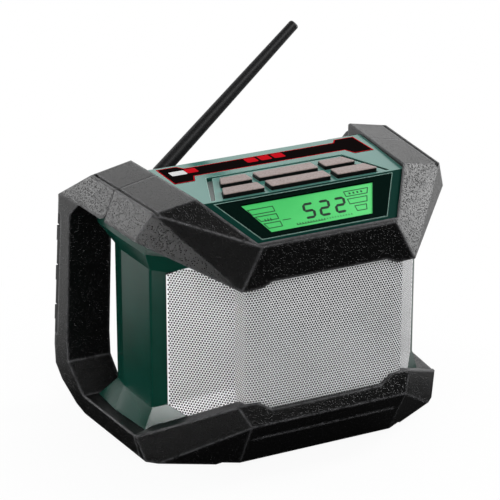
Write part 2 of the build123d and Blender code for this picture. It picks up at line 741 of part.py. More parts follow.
with BuildPart() as front_housing:
    # Upright waist with rounded edges, flaring out below and above.
    with BuildSketch(Plane.XY.offset(waist_low)) as waist:
        Polygon(*core_plan(*waist_level), align=None)
        edges = waist.vertices().filter_by(lambda v: waist_corner_y - 1 < v.Y < 0)
        fillet(edges, radius=waist_round)
    extrude(amount=waist_high - waist_low)
    foot_levels = ((flare_low, foot_level), (waist_low, waist_level))
    brow_levels = ((waist_high, waist_level), (flare_high, brow_level), (core_top, brow_level))
    for levels in (foot_levels, brow_levels):
        for level_z, level in levels:
            with BuildSketch(Plane.XY.offset(level_z)):
                Polygon(*core_plan(*level), align=None)
        loft(ruled=True)
    add(corner_wedges[0])
    # Flat seats for the grille on the corner faces, under the cover.
    for hand in (1, -1):
        with BuildSketch(corner_profile((core_nose, core_front), hand)):
            seat_line = cut_line(grille_cut_high, seat_gap)
            Polygon((-wall, waist_high - wall), (seat_line[0][0], waist_high - wall), *seat_line,
                    (-wall, seat_line[1][1]), align=None)
        extrude(amount=hand * 2 * wall, mode=Mode.SUBTRACT)
    with BuildSketch(Plane.XY.offset(core_low)):
        Polygon(*foot_plan(0), align=None)
    extrude(amount=flare_low - core_low)
    # One wall thickness all round, open to the rear.
    with BuildSketch(Plane.XY.offset(cavity_low)):
        Polygon(*core_plan(*waist_level[:5], waist_rear - wall, inset=wall, nose_inset=wall), align=None)
    extrude(amount=cavity_high - cavity_low, mode=Mode.SUBTRACT)
    with BuildSketch(Plane.XZ.offset(-back_face - wall)):
        with Locations((0, (opening_low + opening_high) / 2)):
            Rectangle(2 * core_opening, opening_high - opening_low)
    extrude(amount=back_face, mode=Mode.SUBTRACT)
    # Seat of the rear housing between the flared corners.
    with BuildSketch(Plane.XZ.offset(-back_face - wall)):
        with Locations((0, back_low - seat_gap)):
            seat_size = (2 * (back_half + seat_gap), height)
            Rectangle(*seat_size, align=(Align.CENTER, Align.MIN))
    extrude(amount=back_face + wall - waist_rear, mode=Mode.SUBTRACT)
    # Speaker openings in the baffle.
    with BuildSketch(Plane.XZ.offset(-core_front - 2 * wall)):
        with Locations((-speaker_x, speaker_z), (speaker_x, speaker_z)):
            Circle(speaker_hole_r)
    extrude(amount=4 * wall, mode=Mode.SUBTRACT)
    # Rails for the main board.
    with BuildSketch(Plane.XY.offset(cavity_low)):
        with Locations((0, main_board_y)):
            with GridLocations(main_board[0] - 4 * wall, 0, 2, 1):
                Rectangle(wall, main_board[1])
    extrude(amount=main_board_lift)
    # Holes for the housing screws.
    with BuildSketch(Plane.XZ.offset(-waist_rear - wall)):
        with Locations(*[(side * boss_x, z) for side in (-1, 1) for z in boss_z]):
            Circle(screw_r + pin_gap)
    extrude(amount=3 * wall, mode=Mode.SUBTRACT)
save(front_housing, "front_housing")

# ---------------------------------------------------------------- grille
# Space behind the sheet.
with BuildPart() as grille_back:
    with BuildSketch(Plane.XY):
        Polygon(*grille_plan(-grille_sheet, waist_rear + 1), align=None)
    extrude(amount=height)
    add(corner_wedges[1])
    add(grille_wedges[0:2])

with BuildPart() as speaker_grille:
    with BuildSketch(Plane.XY.offset(grille_low)):
        Polygon(*grille_plan(0, waist_rear), align=None)
    extrude(amount=grille_high - grille_low)
    add(corner_wedges[2])
    add(grille_wedges[2:4])
    add(grille_back.part, mode=Mode.SUBTRACT)
    # Only the sheet in front of the baffle stays, with slanted corners.
    with BuildSketch(Plane.XY):
        with Locations((0, grille_plan(0, 0)[3][1])):
            Rectangle(3 * grille_end, depth, align=(Align.CENTER, Align.MIN))
    extrude(amount=height, mode=Mode.SUBTRACT)
    for hand in (1, -1):
        with BuildSketch(corner_profile((core_nose, core_front), hand)):
            low_line, high_line = cut_line(grille_cut_low), cut_line(grille_cut_high)
            far = [(2 * grille_end, high_line[1][1]), (2 * grille_end, low_line[1][1])]
            Polygon(*reversed(low_line), *high_line, *far, align=None)
        extrude(amount=4 * wall, both=True, mode=Mode.SUBTRACT)
save(speaker_grille, "speaker_grille")

# ---------------------------------------------------------------- speakers
baffle_back = core_front + wall + seat_gap
basket_r = speaker_hole_r - basket_ring
cone_r = basket_r - slide_gap


def driver_axes(x):
    """Half-section plane of a driver: local x is the radius, local y runs to the rear."""
    return Plane(origin=(x, baffle_back, speaker_z), x_dir=(1, 0, 0), z_dir=(0, 0, 1))


for side_name, x in (("left", -speaker_x), ("right", speaker_x)):
    spin = Axis((x, 0, speaker_z), (0, 1, 0))
    with BuildPart() as speaker_frame:
        with BuildSketch(driver_axes(x)):
            with BuildLine():
                Polyline(
                    (basket_r, 0),
                    (speaker_frame_r, 0),
                    (speaker_frame_r, speaker_flange),
                    (basket_r + basket_wall, speaker_flange),
                    (basket_r + basket_wall, basket_depth),
                    (voice_r, basket_depth),
                    (voice_r, basket_depth - basket_wall),
                    (basket_r, basket_depth - basket_wall),
                    close=True,
                )
            make_face()
        revolve(axis=spin)
    save(speaker_frame, f"{side_name}_speaker_frame")

    with BuildPart() as speaker_cone:
        with BuildSketch(driver_axes(x)):
            with BuildLine():
                Polyline(
                    (cone_r, 0),
                    (voice_r, cone_depth),
                    (0, cone_depth),
                    (0, cone_depth + cone_sheet),
                    (voice_r, cone_depth + cone_sheet),
                    (cone_r, cone_sheet),
                    close=True,
                )
            make_face()
        revolve(axis=spin)
    save(speaker_cone, f"{side_name}_speaker_cone")

    with BuildPart() as speaker_magnet:
        with BuildSketch(driver_axes(x)):
            with Locations((0, basket_depth + seat_gap)):
                Rectangle(magnet_r, magnet_length, align=(Align.MIN, Align.MIN))
        revolve(axis=spin)
    save(speaker_magnet, f"{side_name}_speaker_magnet")

# ---------------------------------------------------------------- control panel
window_edge = window_plan(panel_gap, panel_nose, panel_lobe_rear)
slope_run = sqrt(1 + roof_slope ** 2)
display_plane = Plane(
    origin=(0, panel_bend, panel_bend_z), x_dir=(1, 0, 0), z_dir=(0, -roof_slope, 1)
)
sheet_thick = panel_drop / slope_run


def key_outline(row, column, grow=0.0):
    """Outline of a key; column is -1, 0 or 1 and the outer ends are slanted."""
    y = key_rows[row]
    near, far = y - key_depth / 2 - grow, y + key_depth / 2 + grow
    if column == 0:
        return [(-key_middle - grow, near), (key_middle + grow, near),
                (key_middle + grow, far), (-key_middle - grow, far)]
    outer = key_outer + key_taper * (key_rows[0] - y)
    ends = [outer + key_taper * (y - edge) + grow for edge in (near, far)]
    inner = key_inner - grow
    right = [(inner, near), (ends[0], near), (ends[1], far), (inner, far)]
    return [(column * px, py) for px, py in right]


def border_outline(inset):
    """Outline of the key field, narrower towards the rear."""
    (rear_x, rear_y), (front_x, front_y) = border_rear, border_front
    return mirrored([(front_x - inset, front_y), (rear_x - inset, rear_y - inset)])


def strip_outline(inset):
    """Outline of the indicator strip: a bar with a lobe at each end."""
    inner, step, outer = strip_lobe
    right = [
        (inner + inset, strip_front + inset),
        (step + inset, strip_lobe_front + inset),
        (outer - inset, strip_lobe_front + inset),
        (outer - inset, strip_lobe_rear - inset),
        (step + inset, strip_lobe_rear - inset),
        (inner + inset, strip_rear - inset),
    ]
    return mirrored(right)


keys = [
    ("source_key", 0, -1), ("volume_key", 0, 0), ("tone_key", 0, 1),
    ("menu_key", 1, -1), ("tuning_key", 1, 0), ("station_key", 1, 1),
]

with BuildPart() as control_panel:
    with BuildSketch(Plane.YZ):
        section = [
            (panel_nose, panel_nose_z),
            (panel_bend, panel_bend_z),
            (strip_front, panel_top),
            (panel_lobe_bend, panel_top),
            (panel_lobe_rear, panel_top - panel_lobe_fall),
        ]
        lower = [(y, z - panel_drop) for y, z in reversed(section)]
        Polygon(*section, *lower, align=None)
    extrude(amount=cover_side, both=True)
    with BuildSketch(Plane.XY):
        Polygon(*window_edge, align=None)
    extrude(amount=height, mode=Mode.INTERSECT)
    # The middle ends behind the strip; the lobes reach back beside it.
    with BuildSketch(Plane.XY):
        rear_cut = [(panel_lobe_x - 6, panel_rear), (panel_lobe_x, panel_lobe_rear + 1)]
        Polygon(*mirrored(rear_cut), align=None)
    extrude(amount=height, mode=Mode.SUBTRACT)
    # A rim closes the panel towards the rear.
    with BuildSketch(Plane.XY.offset(core_top + seat_gap)):
        with Locations((0, panel_rear)):
            Rectangle(2 * (panel_lobe_x - 6), wall, align=(Align.CENTER, Align.MAX))
    extrude(amount=height - core_top)
    with BuildSketch(Plane.XY.offset(back_top + seat_gap)):
        Polygon(*window_edge, align=None)
        with Locations((0, panel_lobe_rear - wall)):
            Rectangle(4 * panel_lobe_x, depth, align=(Align.CENTER, Align.MAX), mode=Mode.SUBTRACT)
        Polygon(*mirrored(rear_cut), align=None, mode=Mode.SUBTRACT)
    extrude(amount=height - back_top)
    with BuildSketch(Plane.YZ):
        below = [(panel_lobe_rear, core_top), (panel_nose, core_top - wall)]
        Polygon(*section, *below, align=None)
    extrude(amount=cover_side, both=True, mode=Mode.INTERSECT)
    # Sunk border around the keys.
    with BuildSketch(Plane.XY.offset(panel_top)):
        Polygon(*border_outline(0), align=None)
        Polygon(*border_outline(border_width), align=None, mode=Mode.SUBTRACT)
    extrude(amount=-panel_fall - border_depth, mode=Mode.SUBTRACT)
    # Pocket for the strip.
    with BuildSketch(Plane.XY.offset(panel_top)):
        Polygon(*strip_outline(-seat_gap), align=None)
    extrude(amount=-strip_sheet - seat_gap, mode=Mode.SUBTRACT)
    # Key windows.
    with BuildSketch(Plane.XY):
        for key_name, row, column in keys:
            Polygon(*key_outline(row, column, slide_gap), align=None)
    extrude(amount=height, mode=Mode.SUBTRACT)
    # Pocket for the display window, and the opening for the display.
    with BuildSketch(display_plane):
        Polygon(*mirrored([(window_bottom[0] + seat_gap, window_bottom[1] - seat_gap),
                           (window_top[0] + seat_gap, window_top[1] + seat_gap)]), align=None)
    extrude(amount=-window_sheet - seat_gap, mode=Mode.SUBTRACT)
    with BuildSketch(display_plane):
        Polygon(*mirrored([lcd_bottom, lcd_top]), align=None)
    extrude(amount=-2 * panel_drop, mode=Mode.SUBTRACT)
    # Posts for the control board.
    with BuildSketch(Plane.XY.offset(panel_top - panel_drop - board_drop + seat_gap)):
        for post_y in board_posts_y:
            with Locations((-board_posts_x, post_y), (board_posts_x, post_y)):
                Circle(2.5)
    extrude(amount=board_drop)
save(control_panel, "control_panel")

with BuildPart() as indicator_strip:
    with BuildSketch(Plane.XY.offset(panel_top - strip_sheet)):
        Polygon(*strip_outline(0), align=None)
    extrude(amount=strip_sheet)
save(indicator_strip, "indicator_strip")

with BuildPart() as display_window:
    with BuildSketch(display_plane.offset(-window_sheet)):
        Polygon(*mirrored([window_bottom, window_top]), align=None)
    extrude(amount=window_sheet)
save(display_window, "display_window")

with BuildPart() as display_module:
    with BuildSketch(display_plane.offset(-sheet_thick - seat_gap - lcd_sheet)):
        body = [
            (lcd_bottom[0] + lcd_border, lcd_bottom[1] - lcd_border),
            (lcd_top[0] + lcd_border, lcd_top[1] + lcd_border),
        ]
        Polygon(*mirrored(body), align=None)
    extrude(amount=lcd_sheet)
    # The glass stands up through the panel to the window.
    with BuildSketch(display_plane.offset(-sheet_thick - seat_gap)):
        glass = [
            (lcd_bottom[0] - slide_gap, lcd_bottom[1] + slide_gap),
            (lcd_top[0] - slide_gap, lcd_top[1] - slide_gap),
        ]
        Polygon(*mirrored(glass), align=None)
    extrude(amount=sheet_thick - window_sheet)
save(display_module, "display_module")

# ---------------------------------------------------------------- keys, mat and board
panel_under = panel_top - panel_drop
key_flange_top = panel_under - panel_fall - seat_gap
key_flange_low = key_flange_top - key_flange
board_top = panel_under - board_drop
mat_top = board_top + seat_gap + mat_sheet
pad_top = key_flange_low - key_travel - mat_gap

for key_name, row, column in keys:
    with BuildPart() as key:
        with BuildSketch(Plane.XY.offset(key_flange_low)) as key_face:
            Polygon(*key_outline(row, column), align=None)
            fillet(key_face.vertices(), radius=key_round)
        extrude(amount=panel_top + key_proud - key_flange_low)
        # A lip under the panel keeps the key in its window.
        with BuildSketch(Plane.XY.offset(key_flange_low)):
            Polygon(*key_outline(row, column, key_lip), align=None)
        extrude(amount=key_flange)
        top = key.faces().sort_by(Axis.Z)[-1]
        chamfer(top.edges(), length=0.5)
    save(key, key_name)

with BuildPart() as key_mat:
    with BuildSketch(Plane.XY.offset(board_top + seat_gap)):
        with Locations((0, sum(key_rows) / 2)):
            Rectangle(2 * board_posts_x - 8, key_rows[0] - key_rows[1] + key_depth)
    extrude(amount=mat_sheet)
    # A sprung pad under each key.
    with BuildSketch(Plane.XY.offset(mat_top)):
        for key_name, row, column in keys:
            pad_x = column * (key_inner + key_outer) / 2
            with Locations((pad_x, key_rows[row])):
                Rectangle(*mat_pad)
    extrude(amount=pad_top - mat_top, taper=15)
save(key_mat, "key_mat")

with BuildPart() as control_board:
    with BuildSketch(Plane.XY.offset(board_top - board)):
        board_y = (board_posts_y[0] + board_posts_y[1]) / 2
        with Locations((0, board_y)):
            Rectangle(2 * board_posts_x + 10, board_posts_y[1] - board_posts_y[0] + 10)
    extrude(amount=board)
save(control_board, "control_board")

with BuildPart() as main_board_part:
    with BuildSketch(Plane.XY.offset(cavity_low + main_board_lift + seat_gap)):
        with Locations((0, main_board_y)):
            Rectangle(*main_board)
    extrude(amount=board)
    # Heat sink and connectors.
    with BuildSketch(Plane.XY.offset(cavity_low + main_board_lift + seat_gap + board)):
        with Locations((-sink_x, main_board_y)):
            with GridLocations(sink_pitch, 0, 7, 1):
                Rectangle(sink_pitch / 2, sink_length)
        with Locations((sink_x, main_board_y)):
            with GridLocations(0, 2 * connector[0], 1, 2):
                Rectangle(*connector)
    extrude(amount=sink_high)
save(main_board_part, "main_board")

# ---------------------------------------------------------------- rear housing
back_depth = back_face - waist_rear - seat_gap
back_top_half = window_half + window_flare * waist_rear - panel_gap
tub_half = dock_half + wall
boss_spots = [(side * boss_x, z) for side in (-1, 1) for z in boss_z]
hinge_y = back_face + seat_gap + hinge_r
hinge_z = bay_z - bay_half_z - door_lap - hinge_r - slide_gap
antenna_y = back_face + 2 * seat_gap + base_sheet + knuckle_width / 2

with BuildPart() as rear_housing:
    with BuildSketch(Plane.XZ.offset(-back_face)):
        with Locations((0, back_low)):
            Rectangle(2 * back_half, back_high - back_low, align=(Align.CENTER, Align.MIN))
        with Locations((0, back_high)):
            Rectangle(2 * back_top_half, back_top - back_high, align=(Align.CENTER, Align.MIN))
    extrude(amount=back_depth)
    # Hollow towards the front.
    with BuildSketch(Plane.XZ.offset(-back_face + wall)):
        with Locations((0, back_low + wall)):
            hollow_size = (2 * (back_half - wall), back_high - back_low - 2 * wall)
            Rectangle(*hollow_size, align=(Align.CENTER, Align.MIN))
        with Locations((0, back_high - wall)):
            hollow_size = (2 * (back_top_half - wall), back_top - back_high)
            Rectangle(*hollow_size, align=(Align.CENTER, Align.MIN))
    extrude(amount=back_depth, mode=Mode.SUBTRACT)
    # The top wall reaches forward over the housing to the panel's rim.
    with BuildSketch(Plane.XY.offset(back_top - wall)):
        with Locations((0, panel_rear + seat_gap)):
            lip_size = (2 * (panel_lobe_x - 8), back_face - panel_rear - seat_gap)
            Rectangle(*lip_size, align=(Align.CENTER, Align.MIN))
    extrude(amount=wall)
    # Bosses for the housing screws.
    with BuildSketch(Plane.XZ.offset(-back_face + wall)):
        with Locations(*boss_spots):
            Circle(boss_r)
    extrude(amount=back_depth - wall)
    # Dock for the battery pack, open below and closed above.
    with BuildSketch(Plane.XZ.offset(-back_face)):
        with Locations((0, back_low)):
            tub_size = (2 * tub_half, dock_high + wall - back_low)
            Rectangle(*tub_size, align=(Align.CENTER, Align.MIN))
    extrude(amount=back_depth)
    with BuildSketch(Plane.XZ.offset(-back_face)):
        with Locations((0, opening_low + seat_gap)):
            tub_size = (2 * tub_half, opening_high - opening_low - 2 * seat_gap)
            Rectangle(*tub_size, align=(Align.CENTER, Align.MIN))
    extrude(amount=back_face - dock_floor + wall)
    with BuildSketch(Plane.XZ.offset(-back_face)):
        Rectangle(2 * dock_half, 2 * dock_high)
    extrude(amount=back_face - dock_floor, mode=Mode.SUBTRACT)
    # Two rails stand on the dock's floor, with flanges that the pack hooks behind.
    with BuildSketch(Plane.XY.offset(rail_low)):
        for side in (-1, 1):
            with Locations((side * rail_web, dock_floor - 1)):
                Rectangle(rail_sheet, rail_height + 1, align=(Align.CENTER, Align.MIN))
            with Locations((side * rail_web, dock_floor + rail_height)):
                flange_align = Align.MIN if side > 0 else Align.MAX
                Rectangle(rail_flange, rail_sheet, align=(flange_align, Align.MAX))
    extrude(amount=rail_high - rail_low)
    # Pocket of the terminal block in the dock's floor.
    with BuildSketch(Plane.XZ.offset(-dock_floor)):
        with Locations((0, terminal_z)):
            Rectangle(2 * (block_half + seat_gap), block_height + 2 * seat_gap)
    extrude(amount=block_sink + seat_gap, mode=Mode.SUBTRACT)
    # Socket bay.
    with BuildSketch(Plane.XZ.offset(-back_face)):
        with Locations((bay_x, bay_z)):
            Rectangle(2 * (bay_half + wall), 2 * (bay_half_z + wall))
    extrude(amount=back_face - bay_floor + wall)
    with BuildSketch(Plane.XZ.offset(-back_face)):
        with Locations((bay_x, bay_z)):
            Rectangle(2 * bay_half, 2 * bay_half_z)
    extrude(amount=back_face - bay_floor, mode=Mode.SUBTRACT)
    # The sockets pass through the bay's floor.
    with BuildSketch(Plane.XZ.offset(-bay_floor)):
        with Locations((bay_x - socket_pitch, bay_z), (bay_x + socket_pitch, bay_z)):
            Circle(socket_r + seat_gap)
        with Locations((bay_x, bay_z)):
            Rectangle(usb_size[0] + 2 * seat_gap, usb_size[1] + 2 * seat_gap)
    extrude(amount=2 * wall, mode=Mode.SUBTRACT)
    # Two ears carry the pin of the bay's door.
    with BuildSketch(Plane.YZ.offset(bay_x)):
        with Locations((hinge_y, hinge_z)):
            Circle(hinge_r)
        with Locations((hinge_y, hinge_z)):
            Rectangle(hinge_y - back_face + 1, 2 * hinge_r, align=(Align.MAX, Align.CENTER))
    extrude(amount=bay_half, both=True)
    with BuildSketch(Plane.YZ.offset(bay_x)):
        with Locations((back_face, hinge_z)):
            Rectangle(4 * hinge_r, 4 * hinge_r, align=(Align.MIN, Align.CENTER))
    extrude(amount=hinge_half + seat_gap, both=True, mode=Mode.SUBTRACT)
    with BuildSketch(Plane.YZ.offset(bay_x)):
        with Locations((hinge_y, hinge_z)):
            Circle(hinge_pin_r + pin_gap)
    extrude(amount=bay_half + 1, both=True, mode=Mode.SUBTRACT)
    # Screw holes with sunk heads, and the hole of the antenna's pin.
    with BuildSketch(Plane.XZ.offset(-back_face)):
        with Locations(*boss_spots):
            Circle(screw_head_r + seat_gap)
    extrude(amount=screw_head + seat_gap, mode=Mode.SUBTRACT)
    with BuildSketch(Plane.XZ.offset(-back_face)):
        with Locations(*boss_spots):
            Circle(screw_r + pin_gap)
        with Locations((antenna_x, antenna_z)):
            Circle(antenna_pin_r + pin_gap)
    extrude(amount=back_depth, mode=Mode.SUBTRACT)
save(rear_housing, "rear_housing")

# ---------------------------------------------------------------- housing screws
with BuildPart() as housing_screws:
    with BuildSketch(Plane.XZ.offset(-back_face)):
        with Locations(*boss_spots):
            Circle(screw_head_r)
    extrude(amount=screw_head)
    with BuildSketch(Plane.XZ.offset(-back_face + screw_head)):
        with Locations(*boss_spots):
            Circle(screw_r)
    extrude(amount=screw_length)
    # Cross recesses in the heads.
    with BuildSketch(Plane.XZ.offset(-back_face)):
        with Locations(*boss_spots):
            Rectangle(3.2, 0.8)
            Rectangle(0.8, 3.2)
    extrude(amount=1.2, mode=Mode.SUBTRACT)
save(housing_screws, "housing_screws")

# ---------------------------------------------------------------- dock terminals
with BuildPart() as dock_terminals:
    with BuildSketch(Plane.XZ.offset(-dock_floor)):
        with Locations((0, terminal_z)):
            Rectangle(2 * block_half, block_height)
    extrude(amount=block_sink)
    with BuildSketch(Plane.XZ.offset(-dock_floor)):
        with Locations(*[(x, terminal_z) for x in blade_x]):
            Rectangle(blade, blade_length)
    extrude(amount=-blade_reach)
save(dock_terminals, "dock_terminals")

# ---------------------------------------------------------------- battery pack
shoe_front = dock_floor + seat_gap
pack_front = dock_floor + rail_height + seat_gap
rail_inner = rail_web - rail_sheet / 2
rail_outer = rail_web + rail_flange
hook_rear = dock_floor + rail_height - rail_sheet - seat_gap

with BuildPart() as battery_pack:
    with BuildSketch(Plane.XY.offset(pack_low)) as pack_plan:
        with Locations((0, pack_front)):
            Rectangle(2 * pack_half, pack_rear - pack_front, align=(Align.CENTER, Align.MIN))
        fillet(pack_plan.vertices().sort_by(Axis.Y)[-2:], radius=pack_round)
    extrude(amount=pack_high - pack_low)
    chamfer(battery_pack.faces().sort_by(Axis.Y)[-1].edges().filter_by(Axis.X), length=3)
    # Shoe that slides over the rails.
    with BuildSketch(Plane.XY.offset(rail_low)):
        with Locations((0, shoe_front)):
            shoe_size = (2 * (dock_half - 2), pack_front - shoe_front)
            Rectangle(*shoe_size, align=(Align.CENTER, Align.MIN))
    extrude(amount=rail_high + wall - rail_low)
    with BuildSketch(Plane.XY.offset(rail_low)):
        for side in (-1, 1):
            with Locations((side * rail_web, shoe_front)):
                groove_size = (rail_sheet + 2 * seat_gap, pack_front - shoe_front)
                Rectangle(*groove_size, align=(Align.CENTER, Align.MIN))
            with Locations((side * (rail_inner - seat_gap), hook_rear)):
                groove_align = Align.MIN if side > 0 else Align.MAX
                groove_size = (rail_outer - rail_inner + 2 * seat_gap, pack_front - hook_rear)
                Rectangle(*groove_size, align=(groove_align, Align.MIN))
    extrude(amount=rail_high + seat_gap - rail_low, mode=Mode.SUBTRACT)
    # Slots for the terminals, open below.
    with BuildSketch(Plane.XY.offset(rail_low)):
        with Locations(*[(x, shoe_front) for x in blade_x]):
            slot_size = (blade + 2 * slide_gap, blade_reach + slide_gap)
            Rectangle(*slot_size, align=(Align.CENTER, Align.MIN))
    slot_high = terminal_z + blade_length / 2 + slide_gap
    extrude(amount=slot_high - rail_low, mode=Mode.SUBTRACT)
    # Grip recesses at the sides.
    with BuildSketch(Plane.YZ):
        with Locations(((pack_front + pack_rear) / 2 + 4, (pack_low + pack_high) / 2 + 12)):
            SlotOverall(42, 16, rotation=90)
    extrude(amount=pack_half, both=True, mode=Mode.SUBTRACT)
    with BuildSketch(Plane.YZ):
        with Locations(((pack_front + pack_rear) / 2 + 4, (pack_low + pack_high) / 2 + 12)):
            SlotOverall(44, 18, rotation=90)
    extrude(amount=pack_half - 2.5, both=True)
    # Pocket of the release button.
    with BuildSketch(Plane.XZ.offset(-pack_rear)):
        with Locations((0, latch_z)):
            pocket_size = (2 * (latch_half + slide_gap), latch_height + 2 * slide_gap)
            Rectangle(*pocket_size)
    extrude(amount=latch_depth + latch_travel + seat_gap, mode=Mode.SUBTRACT)
save(battery_pack, "battery_pack")

with BuildPart() as battery_latch:
    with BuildSketch(Plane.XZ.offset(-pack_rear + latch_depth)):
        with Locations((0, latch_z)):
            Rectangle(2 * latch_half, latch_height)
    extrude(amount=-latch_depth - latch_travel - slide_gap)
    chamfer(battery_latch.faces().sort_by(Axis.Y)[-1].edges(), length=0.8)
save(battery_latch, "battery_latch")

# ---------------------------------------------------------------- sockets
socket_back = bay_floor - wall - seat_gap
socket_board_front = socket_back - socket_body - seat_gap

with BuildPart() as socket_board:
    with BuildSketch(Plane.XZ.offset(-socket_board_front)):
        with Locations((bay_x, bay_z)):
            Rectangle(3 * socket_pitch, 2 * bay_half_z)
    extrude(amount=board)
save(socket_board, "socket_board")

for socket_name, x, bore in (
    ("dc_inlet", bay_x + socket_pitch, dc_bore_r),
    ("aux_socket", bay_x - socket_pitch, aux_bore_r),
):
    with BuildPart() as socket:
        # Body on the board, and a round sleeve that stands in the bay.
        with BuildSketch(Plane.XZ.offset(-socket_back)):
            with Locations((x, bay_z)):
                Rectangle(2 * socket_r + 1, 2 * socket_r + 3)
        extrude(amount=socket_body)
        with BuildSketch(Plane.XZ.offset(-socket_back)):
            with Locations((x, bay_z)):
                Circle(socket_r)
        extrude(amount=-seat_gap - wall - socket_proud)
        with BuildSketch(Plane.XZ.offset(-bay_floor - socket_proud)):
            with Locations((x, bay_z)):
                Circle(bore)
        extrude(amount=wall + socket_proud + socket_body / 2, mode=Mode.SUBTRACT)
        if socket_name == "dc_inlet":
            with BuildSketch(Plane.XZ.offset(-bay_floor - socket_proud + 1)):
                with Locations((x, bay_z)):
                    Circle(dc_pin_r)
            extrude(amount=wall + socket_proud + socket_body / 2)
    save(socket, socket_name)

with BuildPart() as usb_socket:
    with BuildSketch(Plane.XZ.offset(-socket_back)):
        with Locations((bay_x, bay_z)):
            Rectangle(usb_size[0] + 1.5, usb_size[1] + 1.5)
    extrude(amount=socket_body)
    with BuildSketch(Plane.XZ.offset(-socket_back)):
        with Locations((bay_x, bay_z)):
            Rectangle(*usb_size)
    extrude(amount=-seat_gap - wall - socket_proud / 2)
    with BuildSketch(Plane.XZ.offset(-bay_floor - socket_proud / 2)):
        with Locations((bay_x, bay_z)):
            Rectangle(usb_size[0] - 1, usb_size[1] - 1)
            with Locations((-0.6, 0)):
                Rectangle(1.8, usb_size[1] - 3, mode=Mode.SUBTRACT)
    extrude(amount=socket_body, mode=Mode.SUBTRACT)
save(usb_socket, "usb_socket")

# ---------------------------------------------------------------- bay door
door_front = back_face + seat_gap

with BuildPart() as socket_door:
    with BuildSketch(Plane.XZ.offset(-door_front - door_sheet)) as door_face:
        with Locations((bay_x, bay_z)):
            Rectangle(2 * (bay_half + door_lap), 2 * (bay_half_z + door_lap))
        fillet(door_face.vertices(), radius=2)
    extrude(amount=door_sheet)
    # Rim that drops into the bay.
    with BuildSketch(Plane.XZ.offset(-door_front)):
        with Locations((bay_x, bay_z)):
            Rectangle(2 * (bay_half - slide_gap), 2 * (bay_half_z - 2 * slide_gap))
            Rectangle(2 * (bay_half - slide_gap - 1.2), 2 * (bay_half_z - 2 * slide_gap - 1.2),
                      mode=Mode.SUBTRACT)
    extrude(amount=door_rim)
    # Knuckle on the hinge's pin.
    with BuildSketch(Plane.YZ.offset(bay_x)):
        with Locations((hinge_y, hinge_z)):
            Circle(hinge_r)
        with Locations((door_front, hinge_z)):
            neck_size = (door_sheet, bay_z - bay_half_z - hinge_z)
            Rectangle(*neck_size, align=(Align.MIN, Align.MIN))
    extrude(amount=hinge_half, both=True)
    with BuildSketch(Plane.YZ.offset(bay_x)):
        with Locations((hinge_y, hinge_z)):
            Circle(hinge_pin_r + pin_gap)
    extrude(amount=hinge_half + 1, both=True, mode=Mode.SUBTRACT)
    # Finger tab at the upper edge.
    with BuildSketch(Plane.XY.offset(bay_z + bay_half_z + door_lap - door_tab)):
        with Locations((bay_x, door_front + door_sheet - 1)):
            Rectangle(12, door_tab + 1, align=(Align.CENTER, Align.MIN))
    extrude(amount=2)
save(socket_door, "socket_door")

with BuildPart() as door_pin:
    with BuildSketch(Plane.YZ.offset(bay_x)):
        with Locations((hinge_y, hinge_z)):
            Circle(hinge_pin_r)
    extrude(amount=bay_half, both=True)
save(door_pin, "door_pin")

# ---------------------------------------------------------------- antenna
base_front = back_face + seat_gap
pivot = (antenna_x, antenna_y, antenna_z)
lean = radians(antenna_angle)
antenna_dir = (cos(lean), 0, sin(lean))
rod_plane = Plane(origin=pivot, x_dir=antenna_dir, z_dir=(0, -1, 0))

with BuildPart() as antenna_base:
    with BuildSketch(Plane.XZ.offset(-base_front - base_sheet)) as base_face:
        with Locations((antenna_x, antenna_z)):
            Rectangle(2 * base_half, 2 * (back_top - antenna_z))
        fillet(base_face.vertices(), radius=3)
    extrude(amount=base_sheet)
    with BuildSketch(Plane.XZ.offset(-base_front - base_sheet)):
        with Locations((antenna_x, antenna_z)):
            Circle(antenna_pin_r + pin_gap)
    extrude(amount=base_sheet, mode=Mode.SUBTRACT)
save(antenna_base, "antenna_base")

with BuildPart() as antenna:
    with BuildSketch(rod_plane):
        Circle(knuckle_r)
    extrude(amount=knuckle_width / 2, both=True)
    with BuildSketch(rod_plane):
        with BuildLine():
            tip_start = antenna_length - antenna_tip_round
            bend = antenna_tip_round * sin(radians(45))
            tip_flat = antenna_tip_r - antenna_tip_round
            collar = knuckle_r + 3
            Polyline((antenna_length, tip_flat), (antenna_length, 0), (0, 0), (0, antenna_root_r - 1),
                     (collar, antenna_root_r - 1), (collar, antenna_root_r), (tip_start, antenna_tip_r))
            ThreePointArc((tip_start, antenna_tip_r), (tip_start + bend, tip_flat + bend),
                          (antenna_length, tip_flat))
        make_face()
    revolve(axis=Axis(pivot, antenna_dir))
    with BuildSketch(rod_plane):
        Circle(antenna_pin_r + pin_gap)
    extrude(amount=knuckle_width, both=True, mode=Mode.SUBTRACT)
save(antenna, "antenna")

with BuildPart() as antenna_pin:
    pin_top = antenna_y + knuckle_width / 2 + seat_gap
    with BuildSketch(Plane.XZ.offset(-pin_top - pin_head)):
        with Locations((antenna_x, antenna_z)):
            Circle(pin_head_r)
    extrude(amount=pin_head)
    chamfer(antenna_pin.faces().sort_by(Axis.Y)[-1].edges(), length=0.6)
    with BuildSketch(Plane.XZ.offset(-pin_top)):
        with Locations((antenna_x, antenna_z)):
            Circle(antenna_pin_r)
    extrude(amount=pin_top - back_face + wall)
save(antenna_pin, "antenna_pin")

# ---------------------------------------------------------------- feet
with BuildPart() as feet:
    with BuildSketch(Plane.XY) as pads:
        for spot in (foot_front, foot_rear):
            with Locations((-spot[0], spot[1]), spot):
                Rectangle(*foot_size)
        chamfer(pads.vertices(), length=2)
    extrude(amount=ground_gap - seat_gap)
save(feet, "feet")
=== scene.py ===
"""Jobsite radio: finishes, perforated grille, display graphics, light and camera."""

from math import cos, pi, radians, sin, sqrt

